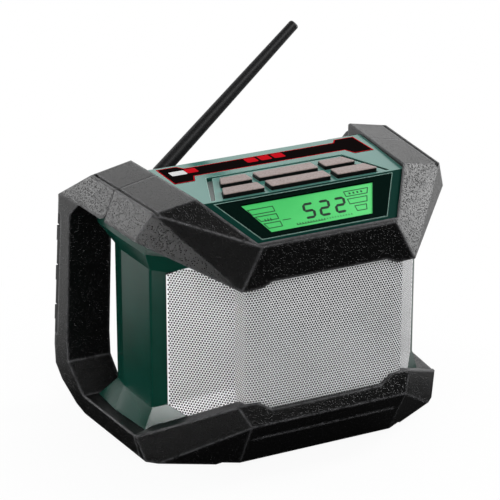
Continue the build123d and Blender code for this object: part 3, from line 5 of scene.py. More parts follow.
import bmesh
import bpy
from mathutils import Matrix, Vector


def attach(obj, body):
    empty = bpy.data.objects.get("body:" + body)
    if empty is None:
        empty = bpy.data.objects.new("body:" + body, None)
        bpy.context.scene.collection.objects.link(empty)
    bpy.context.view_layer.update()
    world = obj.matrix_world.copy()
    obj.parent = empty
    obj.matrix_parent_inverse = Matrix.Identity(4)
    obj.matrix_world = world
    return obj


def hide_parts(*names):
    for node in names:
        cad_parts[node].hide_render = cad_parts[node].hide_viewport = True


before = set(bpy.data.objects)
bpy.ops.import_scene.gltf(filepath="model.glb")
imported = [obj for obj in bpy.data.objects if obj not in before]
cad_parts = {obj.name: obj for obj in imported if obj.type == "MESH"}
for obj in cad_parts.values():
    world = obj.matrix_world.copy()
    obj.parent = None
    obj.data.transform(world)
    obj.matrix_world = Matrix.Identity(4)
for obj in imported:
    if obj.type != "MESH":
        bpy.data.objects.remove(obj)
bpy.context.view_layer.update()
MM = 0.001

# Places that the finishes and the pieces share
PANEL_TOP = 214.5 * MM
PANEL_BEND = -54.5 * MM     # y of the bend between the panel's flat top and its slope
BORDER_FLOOR = PANEL_TOP - 1.6 * MM
KEY_TOP = 217.1 * MM
SLOPE = 0.6                 # rise of the slope per metre towards the rear
SLOPE_RUN = sqrt(1 + SLOPE ** 2)
# Slanting outlines on the slope: half width, and place measured up the slope from the bend
LCD_LOW, LCD_HIGH = (43.5 * MM, -36.5 * MM), (57.5 * MM, -6.6 * MM)
PANE_LOW, PANE_HIGH = (53.5 * MM, -41.5 * MM), (77.0 * MM, -2.0 * MM)


# ---------------------------------------------------------------- shader maths
MIX_FACTOR, MIX_LOW, MIX_HIGH, MIX_COLOUR = 0, 6, 7, 2      # sockets of a Mix node for colours
EDGE_STARTS, EDGE_FULL = 0.004, 0.06                        # turn of the rounded normal at an edge


class Value:
    """An output in a node tree that can be used in Python expressions."""

    def __init__(self, nodes, socket):
        self.nodes = nodes
        self.socket = socket

    def math(self, operation, *values, clamp=False):
        settings = {"operation": operation, "use_clamp": clamp}
        return self.nodes.node("ShaderNodeMath", settings, dict(enumerate(values)))

    def __add__(self, other):
        return self.math("ADD", self, other)

    def __sub__(self, other):
        return self.math("SUBTRACT", self, other)

    def __rsub__(self, other):
        return self.math("SUBTRACT", other, self)

    def __mul__(self, other):
        return self.math("MULTIPLY", self, other)

    __radd__ = __add__
    __rmul__ = __mul__

    def size(self):
        return self.math("ABSOLUTE", self)

    def root(self):
        return self.math("SQRT", self)

    def most(self, other):
        return self.math("MAXIMUM", self, other)

    def clamped(self):
        return self.math("ADD", self, 0.0, clamp=True)


class Nodes:
    """A node tree, filled from one method."""

    def __init__(self, tree):
        self.tree = tree
        tree.nodes.clear()

    def node(self, kind, settings, inputs, output=0):
        """Adds a node with its settings and inputs, and gives the wanted output."""
        node = self.tree.nodes.new(kind)
        for key, value in settings.items():
            setattr(node, key, value)
        for key, value in inputs.items():
            socket = node.inputs[key]
            if isinstance(value, Value):
                self.tree.links.new(value.socket, socket)
            else:
                socket.default_value = value
        return Value(self, node.outputs[output])

    def mix(self, mask, low, high):
        """Colour that goes from low to high with the mask."""
        low = low if isinstance(low, Value) else (*low, 1.0)
        high = high if isinstance(high, Value) else (*high, 1.0)
        inputs = {MIX_FACTOR: mask, MIX_LOW: low, MIX_HIGH: high}
        return self.node("ShaderNodeMix", {"data_type": "RGBA"}, inputs, MIX_COLOUR)

    def blend(self, factor, low, high):
        """Shader that goes from low to high with the factor."""
        return self.node("ShaderNodeMixShader", {}, {0: factor, 1: low, 2: high})

    def step(self, value, low, high):
        """0 below low, 1 above high, smooth between."""
        settings = {"interpolation_type": "SMOOTHSTEP"}
        inputs = {"Value": value, "From Min": low, "From Max": high}
        return self.node("ShaderNodeMapRange", settings, inputs)

    def split(self, vector):
        return [self.node("ShaderNodeSeparateXYZ", {}, {"Vector": vector}, k) for k in "XYZ"]

    def ray(self, kind):
        """1 for light rays of this kind, 0 for all others."""
        return self.node("ShaderNodeLightPath", {}, {}, kind)

    def shown(self, shader, kind="ShaderNodeOutputMaterial"):
        output = self.tree.nodes.new(kind)
        self.tree.links.new(shader.socket, output.inputs["Surface"])


class Finish(Nodes):
    """A material that is laid out on Object coordinates."""

    def __init__(self, name):
        self.material = bpy.data.materials.new(name)
        self.material.use_nodes = True
        super().__init__(self.material.node_tree)
        self.place = self.node("ShaderNodeTexCoord", {}, {}, "Object")
        self.xyz = self.split(self.place)

    def noise(self, scale, detail=3.0, roughness=0.5, place=None):
        """Cloudy pattern with about so many clouds per metre."""
        inputs = {"Vector": place or self.place, "Scale": scale, "Detail": detail,
                  "Roughness": roughness}
        return self.node("ShaderNodeTexNoise", {}, inputs, "Fac")

    def spots(self, scale, randomness=1.0):
        """Distance from the middle of the nearest spot, with about so many spots per metre."""
        inputs = {"Vector": self.place, "Scale": scale, "Randomness": randomness}
        return self.node("ShaderNodeTexVoronoi", {}, inputs, "Distance")

    def rounded(self, radius):
        """Normal as if the edges were rounded."""
        return self.node("ShaderNodeBevel", {"samples": 4}, {"Radius": radius})

    def edges(self, normal):
        """1 on the edges that the rounded normal shows, 0 on the faces."""
        plain = self.node("ShaderNodeNewGeometry", {}, {}, "Normal")
        settings = {"operation": "DOT_PRODUCT"}
        along = self.node("ShaderNodeVectorMath", settings, {0: normal, 1: plain}, "Value")
        return self.step(1 - along, EDGE_STARTS, EDGE_FULL)

    def bump(self, height, strength, distance, normal=None):
        inputs = {"Height": height, "Strength": strength, "Distance": distance}
        if normal:
            inputs["Normal"] = normal
        return self.node("ShaderNodeBump", {}, inputs, "Normal")

    def surface(self, color, roughness, **more):
        """Principled surface; extra sockets are named with underscores for spaces."""
        color = color if isinstance(color, Value) else (*color, 1.0)
        inputs = {"Base Color": color, "Roughness": roughness}
        inputs.update({key.replace("_", " "): value for key, value in more.items()})
        self.shown(self.node("ShaderNodeBsdfPrincipled", {}, inputs))
        return self.material


def scaled(color, factor):
    return tuple(factor * c for c in color)


# ---------------------------------------------------------------- finishes
MINT_HIGHLIGHT = (0.42, 0.66, 0.58)   # painted highlight on the edges of the panel and the window


def armour():
    """Black moulded armour with a speckled spark-eroded grain, its specks painted a little lighter as
    painted glints, and a painted highlight in patches on its edges.
    """
    f = Finish("armour")
    black = (0.0008, 0.0008, 0.0009)
    speck_glint_grey = (0.0048, 0.0048, 0.0052)
    edge_highlight_grey = (0.120, 0.120, 0.126)
    grain = f.noise(1300.0, 2.0, 0.6)
    specks = 1 - f.step(f.spots(640.0), 0.14, 0.42)
    patches = f.noise(35.0, 2.0)
    soft = f.rounded(3.2 * MM)
    # Lighter grey on the edges, in patches, is a painted highlight.
    edge_highlight = f.edges(soft) * f.step(f.noise(240.0), 0.20, 0.60)
    # The specks of the grain are painted a little lighter as painted glints.
    color = f.mix(specks, black, speck_glint_grey)
    color = f.mix(edge_highlight * 0.8, color, edge_highlight_grey)
    roughness = 0.29 + patches * 0.10 - specks * 0.08
    bumps = f.bump(grain * 0.6 + specks, 1.0, 0.31 * MM, soft)
    return f.surface(color, roughness, Normal=bumps)


def black_plastic():
    """Black moulded plastic of the rear and the small parts."""
    f = Finish("black_plastic")
    black = (0.010, 0.010, 0.011)
    grain = f.noise(1800.0, 2.0, 0.6)
    patches = f.step(f.noise(60.0), 0.3, 0.7)
    color = f.mix(patches, black, scaled(black, 1.5))
    return f.surface(color, 0.42 + grain * 0.12, Normal=f.bump(grain, 0.3, 0.12 * MM))


def green_shell():
    """Glossy dark green housing with faint flow marks and a painted highlight on its edges."""
    f = Finish("green_shell")
    deep_green, mid_green = (0.0008, 0.025, 0.016), (0.0018, 0.036, 0.025)
    edge_highlight_green = (0.05, 0.16, 0.13)
    marks = f.noise(22.0)
    fine = f.noise(1400.0, 2.0)
    soft = f.rounded(0.8 * MM)
    color = f.mix(f.step(marks, 0.3, 0.75), deep_green, mid_green)
    # Painted highlight on the edges.
    color = f.mix(f.edges(soft) * 0.35, color, edge_highlight_green)
    bumps = f.bump(fine + marks * 0.5, 0.12, 0.10 * MM, soft)
    return f.surface(color, 0.15 + fine * 0.08, Normal=bumps, Specular_IOR_Level=0.35)


def beside(f, low, high):
    """Place up the slope, and how far a point is inside a slanting outline."""
    x, y, _ = f.xyz
    place = (y - PANEL_BEND) * SLOPE_RUN
    spread = (high[0] - low[0]) / (high[1] - low[1])
    return place, (place - low[1]) * spread + low[0] - x.size()


def panel_green():
    """Glossy green control panel, near black in its sunk border and on its slope, with a painted mint
    highlight on its edges.
    """
    f = Finish("panel_green")
    _, y, z = f.xyz
    teal, pale_teal = (0.040, 0.160, 0.132), (0.060, 0.205, 0.172)
    near_black = (0.002, 0.030, 0.022)
    fine = f.noise(900.0, 2.0)
    marks = f.noise(18.0, 2.0)
    soft = f.rounded(0.9 * MM)
    top = f.mix(f.step(marks, 0.3, 0.7), teal, pale_teal)
    slope = f.step(PANEL_BEND - y, -0.4 * MM, 0.4 * MM)
    sunk = 1 - f.step(z, BORDER_FLOOR, BORDER_FLOOR + 0.5 * MM)
    color = f.mix((slope + sunk).clamped(), top, near_black)
    # On the slope only the rim of the window's pocket gets the painted mint highlight.
    place, inwards = beside(f, PANE_LOW, PANE_HIGH)
    pocket = f.step(inwards, -1.6 * MM, -1.3 * MM)
    pocket = pocket * f.step(place, PANE_LOW[1] - 1.8 * MM, PANE_LOW[1])
    lit = 1 - slope * (1 - pocket)
    # Painted mint highlight on the edges, weaker in the sunk border.
    color = f.mix(f.edges(soft) * lit * (0.9 - sunk * 0.8), color, MINT_HIGHLIGHT)
    bumps = f.bump(fine, 0.1, 0.08 * MM, soft)
    return f.surface(color, 0.16 + fine * 0.06, Normal=bumps, Specular_IOR_Level=0.3)


def perforated_sheet():
    """Light silver lacquer on sheet steel."""
    f = Finish("perforated_sheet")
    silver, pale_silver = (0.76, 0.765, 0.775), (0.84, 0.845, 0.855)
    fine = f.noise(2200.0, 2.0)
    cloud = f.noise(14.0, 2.0)
    color = f.mix(f.step(cloud, 0.25, 0.75), silver, pale_silver)
    bumps = f.bump(fine, 0.25, 0.06 * MM)
    return f.surface(color, 0.36 + fine * 0.14, Metallic=0.15, Normal=bumps)


def painted_shade_black():
    """Matt black painted shade, on the sheet behind the perforations and on the holes' walls."""
    f = Finish("painted_shade_black")
    mottle = f.spots(1600.0, 0.3)
    color = f.mix(mottle, (0.004, 0.004, 0.004), (0.010, 0.010, 0.010))
    return f.surface(color, 0.9, Normal=f.bump(mottle, 0.4, 0.2 * MM), Specular_IOR_Level=0.1)


def key_cap():
    """Mauve grey speckled caps; the keys are black below their tops."""
    f = Finish("key_cap")
    mauve, speck_brown = (0.310, 0.242, 0.226), (0.105, 0.079, 0.074)
    speck_pale = (0.42, 0.36, 0.345)
    specks = f.step(f.noise(1300.0, 1.0), 0.54, 0.66)
    pale = f.step(f.noise(1700.0, 1.0), 0.60, 0.70)
    cap_color = f.mix(pale, f.mix(specks, mauve, speck_brown), speck_pale)
    cap = f.step(f.xyz[2], KEY_TOP - 0.7 * MM, KEY_TOP - 0.5 * MM)
    soft = f.rounded(0.6 * MM)
    color = f.mix(cap, (0.004, 0.004, 0.004), cap_color)
    bumps = f.bump(specks, 0.2, 0.10 * MM, soft)
    return f.surface(color, 0.40, Normal=bumps, Specular_IOR_Level=0.2)


def plain_metal(name, base, roughness):
    """Brushed or plated metal."""
    f = Finish(name)
    stretched = f.node("ShaderNodeMapping", {}, {"Vector": f.place, "Scale": (1.0, 1.0, 12.0)})
    lines = f.noise(300.0, place=stretched)
    color = f.mix(lines, scaled(base, 0.8), base)
    return f.surface(color, roughness + lines * 0.12, Metallic=1.0)


def rubber(name):
    """Matt rubber with a dusty bloom."""
    f = Finish(name)
    black = (0.010, 0.010, 0.011)
    bloom = f.noise(120.0, 4.0)
    fine = f.noise(2500.0, 1.0)
    color = f.mix(f.step(bloom, 0.4, 0.8), black, scaled(black, 2.2))
    return f.surface(color, 0.55 + bloom * 0.2, Normal=f.bump(fine, 0.25, 0.08 * MM))


def sheath():
    """Black antenna sheath: satin and finely mottled."""
    f = Finish("sheath")
    black, satin_black = (0.008, 0.008, 0.009), (0.018, 0.018, 0.019)
    fine = f.noise(900.0, 2.0)
    color = f.mix(f.step(fine, 0.4, 0.7), black, satin_black)
    return f.surface(color, 0.40 + fine * 0.12, Normal=f.bump(fine, 0.2, 0.10 * MM))


def circuit_board():
    """Green lacquer with paler tracks."""
    f = Finish("circuit_board")
    tracks = f.step(f.spots(260.0, 0.4), 0.30, 0.34)
    color = f.mix(tracks, (0.010, 0.090, 0.030), (0.020, 0.180, 0.060))
    return f.surface(color, 0.35)


def speaker_paper():
    """Dark pulp cone."""
    f = Finish("speaker_paper")
    pulp = f.noise(700.0, 4.0)
    color = f.mix(pulp, (0.010, 0.010, 0.010), (0.040, 0.038, 0.036))
    return f.surface(color, 0.85, Normal=f.bump(pulp, 0.4, 0.3 * MM))


def lit_display():
    """Green backlit display, a little brighter towards the lower right."""
    f = Finish("lit_display")
    x, y, _ = f.xyz
    cloud = f.noise(40.0, 2.0)
    glow = x * 6.0 - (y - PANEL_BEND) * 8.0 + cloud * 0.6
    color = f.mix(f.step(glow, 0.1, 0.9), (0.042, 0.47, 0.105), (0.090, 0.60, 0.165))
    return f.surface(color, 0.4, Emission_Color=color, Emission_Strength=0.40)


def ink(name, dark, light):
    """Ink of the display's marks, slightly cloudy."""
    f = Finish(name)
    return f.surface(f.mix(f.noise(300.0, 2.0), dark, light), 0.5)


def window_pane():
    """Clear window with a black printed surround and a painted mint highlight on its edges."""
    f = Finish("window_pane")
    place, inwards = beside(f, LCD_LOW, LCD_HIGH)
    crisp = 0.2 * MM
    clear = f.step(inwards, 0.0, crisp)
    clear = clear * f.step(place, LCD_LOW[1], LCD_LOW[1] + crisp)
    clear = clear * (1 - f.step(place, LCD_HIGH[1] - crisp, LCD_HIGH[1]))
    smear = f.noise(60.0)
    # Painted mint highlight on the rounded edges.
    rim = f.edges(f.rounded(0.9 * MM))
    color = f.mix(rim, (0.001, 0.007, 0.005), MINT_HIGHLIGHT)
    return f.surface(color, 0.05 + smear * 0.05, Alpha=1 - clear * 0.94)


def printed(name, base, roughness, gloss):
    """Printed or moulded-in colour of the strip."""
    f = Finish(name)
    cloud = f.noise(400.0, 2.0)
    fine = f.noise(1300.0, 1.0)
    color = f.mix(cloud, scaled(base, 0.75), base)
    bumps = f.bump(fine, 0.1, 0.05 * MM)
    return f.surface(color, roughness + fine * 0.06, Normal=bumps, Specular_IOR_Level=gloss)


ARMOUR = armour()
GREEN = green_shell()
PANEL = panel_green()
SHEET = perforated_sheet()
SHADE_BLACK = painted_shade_black()
KEYS = key_cap()
BLACK = black_plastic()
SOFT = rubber("soft_rubber")
FOOT = rubber("foot_rubber")
SHEATH = sheath()
BOARD = circuit_board()
STEEL = plain_metal("steel", (0.55, 0.55, 0.56), 0.25)
DARK_STEEL = plain_metal("dark_steel", (0.10, 0.10, 0.105), 0.35)
BRASS = plain_metal("brass", (0.70, 0.52, 0.22), 0.25)
MAGNET = plain_metal("magnet", (0.20, 0.20, 0.21), 0.45)
PAPER = speaker_paper()
DISPLAY = lit_display()
INK = ink("display_ink", (0.002, 0.022, 0.008), (0.004, 0.036, 0.014))
FAINT = ink("faint_ink", (0.006, 0.085, 0.026), (0.009, 0.110, 0.034))
PANE = window_pane()
STRIP = printed("strip_black", (0.006, 0.004, 0.004), 0.45, 0.0)
RED = printed("strip_red", (0.56, 0.008, 0.016), 0.5, 0.0)
WHITE = printed("strip_white", (0.72, 0.72, 0.72), 0.4, 0.2)

FINISH_OF = {
    "upper_cover": ARMOUR,
    "left_side_frame": ARMOUR,
    "right_side_frame": ARMOUR,
    "lower_bumper": ARMOUR,
    "left_grip": SOFT,
    "right_grip": SOFT,
    "front_housing": GREEN,
    "rear_housing": BLACK,
    "speaker_grille": SHEET,
    "control_panel": PANEL,
    "indicator_strip": STRIP,
    "display_window": PANE,
    "display_module": DISPLAY,
    "key_mat": SOFT,
    "control_board": BOARD,
    "main_board": BOARD,
    "socket_board": BOARD,
    "dock_terminals": BRASS,
    "battery_pack": BLACK,
    "battery_latch": GREEN,
    "dc_inlet": BLACK,
    "aux_socket": BLACK,
    "usb_socket": STEEL,
    "socket_door": SOFT,
    "door_pin": STEEL,
    "antenna_base": BLACK,
    "antenna": SHEATH,
    "antenna_pin": DARK_STEEL,
    "feet": FOOT,
    "housing_screws": DARK_STEEL,
}
FINISH_BY_ENDING = {
    "_key": KEYS,
    "speaker_frame": DARK_STEEL,
    "speaker_cone": PAPER,
    "speaker_magnet": MAGNET,
}


def finish_of(node):
    """Finish of a CAD node by its name."""
    for ending, finish in FINISH_BY_ENDING.items():
        if node.endswith(ending):
            return finish
    return FINISH_OF[node]


for node_name, node_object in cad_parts.items():
    for slot in node_object.material_slots:
        slot.material = finish_of(node_name)


# ---------------------------------------------------------------- pieces
def piece(name, bm, material, body="radio"):
    """Makes an object from a bmesh, gives it a finish and lets it ride on a body."""
    mesh = bpy.data.meshes.new(name)
    bm.to_mesh(mesh)
    bm.free()
    mesh.materials.append(material)
    thing = bpy.data.objects.new(name, mesh)
    bpy.context.scene.collection.objects.link(thing)
    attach(thing, body)
    return thing


# Perforated grille and a black sheet behind it as painted shade, laid out flat and then folded round
# the front
GRILLE_FRONT = -91.8 * MM
GRILLE_FLAT = 60.0 * MM     # half width of the flat face
GRILLE_FOLD = 68.3 * MM     # half width of the raised middle
GRILLE_BAND = 1.5 * MM      # the bands beside the flat face fall back by this much
GRILLE_END = 108.5 * MM
GRILLE_LOW, GRILLE_HIGH = 30.2 * MM, 163.8 * MM
CUT_LOW = (45.6 * MM, 0.37)     # slanted corners: height at the outer edge, and how much
CUT_HIGH = (154.4 * MM, 0.49)   # they fall or rise per metre towards the middle
CORNER = 146.05 * MM        # x - y on the corner faces
WEDGE_HALF = 39.6 * MM      # half width of the wedges where they start
WEDGE_RUN = 1.15            # how much wider they get, on each side, per metre of height
WEDGE_LOW, WEDGE_HIGH = 74.2 * MM, 137.0 * MM   # the lower one starts here, and the upper one
WEDGE_PROUD = 0.05          # they stand out by this much per metre of height
WEDGE_FOOT = 42.0 * MM      # lower end of the lower wedge
WEDGE_WIDEST = GRILLE_FLAT - 0.001 * MM
CREASE_NOSE = 67.5 * MM     # the crease of the flared corner starts here
CREASE_Z = 69.4 * MM
CREASE_FALL = 0.42
FLARE = 0.1945              # the flared corner stands out by this much per metre below it
FLARE_FRONT = -86.8 * MM
PITCH = 2.24 * MM           # of the holes
ROW = PITCH * sqrt(3) / 2
HOLE = 1.54 * MM
HOLES_LOW, HOLES_HIGH = 37.0 * MM, 162.0 * MM
HOLE_ROOM = 0.62 * HOLE     # least distance of a hole's middle from a plain edge
CORNER_ROOM = 1.55 * HOLE   # least height of a hole's middle beside a corner's outer point
SHEET_THICK = 1.0 * MM
SHADE_SHEET_SINK = 1.12 * MM      # from the sheet's outer face to the black sheet of painted shade
SHADE_SHEET_PROUD = 0.7 * MM      # the black sheet's edge stands out beside the grille as a painted shade line
SHADE_SHEET_SPARE = 2.0 * MM      # cut off again at the ends
SHADE_SHEET_COLUMNS, SHADE_SHEET_ROWS = 160, 80


def grille_path():
    """Plan points of the folded sheet from its left end to its right end."""
    fold_rear = GRILLE_FOLD + GRILLE_BAND
    right = [
        Vector((GRILLE_FLAT, GRILLE_FRONT)),
        Vector((GRILLE_FOLD, GRILLE_FRONT + GRILLE_BAND)),
        Vector((fold_rear, fold_rear - CORNER)),
        Vector((GRILLE_END, GRILLE_END - CORNER)),
    ]
    return [Vector((-p.x, p.y)) for p in reversed(right)] + right


PATH = grille_path()
PATH_HALF = sum((b - a).length for a, b in zip(PATH, PATH[1:])) / 2


def folded(run, z, sink):
    """Point of the sheet at a distance along its path; sink is measured inwards."""
    left = run + PATH_HALF
    for a, b in zip(PATH, PATH[1:]):
        if left <= (b - a).length or b is PATH[-1]:
            break
        left -= (b - a).length
    along = (b - a).normalized()
    flat = a + along * left + Vector((-along.y, along.x)) * sink
    hand = -1 if flat.x < 0 else 1
    side, y = abs(flat.x), flat.y
    beyond = max(WEDGE_LOW - z, z - WEDGE_HIGH, 0)
    if z > WEDGE_FOOT and side < min(WEDGE_HALF + WEDGE_RUN * beyond, WEDGE_WIDEST):
        y -= WEDGE_PROUD * beyond
    below = CREASE_Z - CREASE_FALL * (side - CREASE_NOSE) * sqrt(2) - z
    if below > 0 and y > FLARE_FRONT:
        out = (CORNER + sqrt(2) * (FLARE * below - sink) - (side - y)) / 2
        if out > 0:
            side += out
            y = max(y - out, FLARE_FRONT + sink)
    return Vector((hand * side, y, z))


def trimmed(bm, margin):
    """Cuts a flat sheet to the grille's outline, or to an outline that is larger by a margin."""
    edges = [((0, GRILLE_LOW - margin), (0, -1)), ((0, GRILLE_HIGH + margin), (0, 1))]
    for hand in (1, -1):
        end = hand * (PATH_HALF + margin)
        edges.append(((end, 0), (hand, 0)))
        for (z, climb), way in ((CUT_LOW, -1), (CUT_HIGH, 1)):
            edges.append(((end, z + way * margin), (hand * climb, way)))
    for (x, z), (nx, nz) in edges:
        geometry = list(bm.verts) + list(bm.edges) + list(bm.faces)
        bmesh.ops.bisect_plane(bm, geom=geometry, plane_co=(x, z, 0), plane_no=(nx, nz, 0),
                               clear_outer=True)


def honeycomb():
    """Flat sheet of hexagonal cells, a little larger than the grille."""
    rows = 2 * int((GRILLE_HIGH - GRILLE_LOW) / ROW / 2 + 1)
    columns = 2 * int(PATH_HALF / PITCH + 2)
    middle = (GRILLE_LOW + GRILLE_HIGH) / 2
    bm = bmesh.new()
    bmesh.ops.create_grid(bm, x_segments=2 * columns, y_segments=rows, size=1.0)
    for v in bm.verts:
        v.co = Vector((round((v.co.x + 1) * columns), round((v.co.y + 1) / 2 * rows), 0))
    # Quads are joined in pairs, like bricks, and their ends are bent into hexagons.
    between = []
    for e in bm.edges:
        a, b = (v.co for v in e.verts)
        if a.x == b.x and len(e.link_faces) == 2 and (a.x + min(a.y, b.y)) % 2:
            between.append(e)
    bmesh.ops.dissolve_edges(bm, edges=between)
    for v in bm.verts:
        swing = PITCH / sqrt(48) * (-1 if (v.co.x + v.co.y) % 2 else 1)
        z = middle + (v.co.y - rows / 2) * ROW + swing
        v.co = Vector(((v.co.x - columns) * PITCH / 2, z, 0))
    return bm


def takes_hole(cell):
    """True for whole cells that aren't too near the ends, the plain bands or a corner's point."""
    x, z, _ = cell.calc_center_median()
    end = PATH_HALF - abs(x)
    corner = min(z - CUT_LOW[0] + end / CUT_LOW[1], CUT_HIGH[0] - z + end / CUT_HIGH[1])
    room = min(end, z - HOLES_LOW, HOLES_HIGH - z)
    return len(cell.verts) == 6 and room > HOLE_ROOM and corner > CORNER_ROOM


def perforated_grille():
    """Folded sheet with its holes; the walls of the holes and of the edges are black as painted
    shade.
    """
    bm = honeycomb()
    cells = [f for f in bm.faces if takes_hole(f)]
    bmesh.ops.inset_individual(bm, faces=cells, thickness=(PITCH - HOLE) / 2, use_even_offset=True)
    bmesh.ops.delete(bm, geom=cells, context="FACES_ONLY")
    trimmed(bm, 0.0)
    rims = [e for e in bm.edges if e.is_boundary]
    wall = bmesh.ops.extrude_edge_only(bm, edges=rims)["geom"]
    sunk = {v for v in wall if isinstance(v, bmesh.types.BMVert)}
    # The walls of the holes and of the edges take the black painted shade.
    for part in wall:
        if isinstance(part, bmesh.types.BMFace):
            part.material_index = 1
    for v in bm.verts:
        v.co = folded(v.co.x, v.co.y, SHEET_THICK if v in sunk else 0.0)
    bmesh.ops.recalc_face_normals(bm, faces=list(bm.faces))
    sheet = piece("perforated_grille", bm, SHEET)
    sheet.data.materials.append(SHADE_BLACK)
    return sheet


def grille_shade_sheet():
    """Black sheet between the grille and the housing, as painted shade behind the holes; its edge
    shows round the grille as painted shade too.
    """
    bm = bmesh.new()
    bmesh.ops.create_grid(bm, x_segments=SHADE_SHEET_COLUMNS, y_segments=SHADE_SHEET_ROWS, size=1.0)
    tall = GRILLE_HIGH - GRILLE_LOW
    for v in bm.verts:
        z = GRILLE_LOW + (v.co.y + 1) / 2 * tall
        v.co = Vector((v.co.x * (PATH_HALF + SHADE_SHEET_SPARE), z, 0))
    trimmed(bm, SHADE_SHEET_PROUD)
    for v in bm.verts:
        v.co = folded(v.co.x, v.co.y, SHADE_SHEET_SINK)
    return piece("grille_shade_sheet", bm, SHADE_BLACK)


grille = perforated_grille()
shade_sheet = grille_shade_sheet()
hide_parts("speaker_grille")


# Display: digits, boxes and tuning scale between the display's glass and the window
BEND_Z = 213.3 * MM         # height of the window's face at the bend
INK_LIFT = -1.20 * MM       # just above the glass, which lies 1.25 below the window's face
INK_THICK = 0.03 * MM
DIGITS = ((5, -5.0 * MM), (2, 8.4 * MM), (2, 21.8 * MM))
DIGIT_PLACE = -22.4 * MM
DIGIT_TALL, DIGIT_WIDE = 15.0 * MM, 10.0 * MM
DIGIT_LEAN = 0.22
STROKE = 2.25 * MM
STROKE_TAPER = 0.45 * STROKE
STROKE_GAP = 0.3 * MM
SEGMENTS = {5: "acdfg", 2: "abdeg"}
LEVEL_OF = {"a": 1, "g": 0, "d": -1}
SIDE_OF = {"f": (-1, 1), "b": (1, 1), "e": (-1, -1), "c": (1, -1)}
# Rows of equal bars: how many, x of the first, step, place, width, height, all in millimetres
DARK_ROWS = (
    (1, -8.0, 0.0, -33.4, 24.0, 0.5),
    (11, -19.6, 2.32, -32.6, 0.9, 1.5),
    (3, -43.0, 2.4, -24.0, 0.8, 2.6),
)
FAINT_ROWS = (
    (10, 6.0, 2.32, -32.6, 0.7, 1.3),
    (4, 34.0, 3.4, -13.4, 1.6, 1.8),
    (1, -26.0, 0.0, -26.6, 7.0, 0.8),
)
# Boxes: left and right end of the lower edge and of the upper edge, place, in millimetres
BOXES = (
    (-51.5, -31.5, -53.5, -31.5, -14.6),
    (-46.8, -31.5, -50.2, -31.5, -22.0),
    (-43.6, -31.5, -46.0, -31.5, -29.4),
    (29.5, 48.5, 29.5, 51.5, -13.4),
    (29.5, 45.0, 29.5, 47.5, -20.8),
    (32.5, 41.5, 32.5, 43.5, -28.2),
)
BOX_TALL = 5.6 * MM
BOX_LINE = 0.8 * MM


def slope_place(co):
    """Moves a point of a flat drawing to the slope; its distance from the drawing lifts it."""
    lift = INK_LIFT + abs(co.z)
    y = PANEL_BEND + (co.y - lift * SLOPE) / SLOPE_RUN
    z = BEND_Z + (co.y * SLOPE + lift) / SLOPE_RUN
    return Vector((co.x, y, z))


def bar(bm, x, place, wide, tall, taper=0.0):
    """Flat bar on the drawing plane; a taper chamfers its corners."""
    made = bmesh.ops.create_grid(bm, x_segments=1, y_segments=1, size=0.5)["verts"]
    for v in made:
        v.co = Vector((x + v.co.x * wide, place + v.co.y * tall, 0))
    if taper:
        bmesh.ops.bevel(bm, geom=made, offset=taper, affect="VERTICES", segments=1, profile=0.5,
                        material=-1)


def bars(bm, rows):
    """Rows of flat bars."""
    for count, first, step, *sizes in rows:
        for number in range(count):
            bar(bm, (first + step * number) * MM, *(size * MM for size in sizes))


def digit(bm, number, x):
    """Seven-segment digit, leaning to the right."""
    reach, climb = (DIGIT_WIDE - STROKE) / 2, (DIGIT_TALL - STROKE) / 2
    drawn = bmesh.new()
    for name in SEGMENTS[number]:
        if name in LEVEL_OF:
            bar(drawn, 0, LEVEL_OF[name] * climb, 2 * reach - STROKE_GAP, STROKE, STROKE_TAPER)
        else:
            hand, way = SIDE_OF[name]
            bar(drawn, hand * reach, way * climb / 2, STROKE, climb - STROKE_GAP, STROKE_TAPER)
    for v in drawn.verts:
        v.co.x += x + v.co.y * DIGIT_LEAN
        v.co.y += DIGIT_PLACE
    mesh = bpy.data.meshes.new("digit")
    drawn.to_mesh(mesh)
    drawn.free()
    bm.from_mesh(mesh)
    bpy.data.meshes.remove(mesh)


def outlined(bm, low_left, low_right, high_left, high_right, place):
    """Outline of a box whose ends slant."""
    made = bmesh.ops.create_grid(bm, x_segments=1, y_segments=1, size=0.5)["verts"]
    for v in made:
        ends = (high_left, high_right) if v.co.y > 0 else (low_left, low_right)
        v.co = Vector((ends[0] if v.co.x < 0 else ends[1], place + v.co.y * BOX_TALL, 0))
    inside = made[0].link_faces[0]
    bmesh.ops.inset_region(bm, faces=[inside], thickness=BOX_LINE, use_boundary=True,
                           use_even_offset=True)
    bmesh.ops.delete(bm, geom=[inside], context="FACES_ONLY")


def printed_plate(name, bm, material, place_of, thick):
    """Gives flat marks a thickness and lays them where they belong."""
    bmesh.ops.solidify(bm, geom=list(bm.verts) + list(bm.edges) + list(bm.faces), thickness=-thick)
    for v in bm.verts:
        v.co = place_of(v.co)
    bmesh.ops.recalc_face_normals(bm, faces=list(bm.faces))
    return piece(name, bm, material)


def display_graphics():
    """Dark digits and scale, and faint boxes and scale."""
    bm = bmesh.new()
    for number, x in DIGITS:
        digit(bm, number, x)
    bars(bm, DARK_ROWS)
    printed_plate("display_digits", bm, INK, slope_place, INK_THICK)

    bm = bmesh.new()
    for box in BOXES:
        outlined(bm, *(measure * MM for measure in box))
    bars(bm, FAINT_ROWS)
    printed_plate("display_boxes", bm, FAINT, slope_place, INK_THICK)


# Strip behind the keys: a thin red line along its edge, and plain coloured marks
STRIP_LIFT = 0.04 * MM
STRIP_MARGIN, STRIP_LINE = 0.7 * MM, 0.8 * MM
STRIP_CORNERS = (           # x and y of its right half, in millimetres
    (66.0, 0.5), (70.0, -9.0), (87.0, -9.0), (87.0, 25.5), (70.0, 25.5), (66.0, 19.5),
)
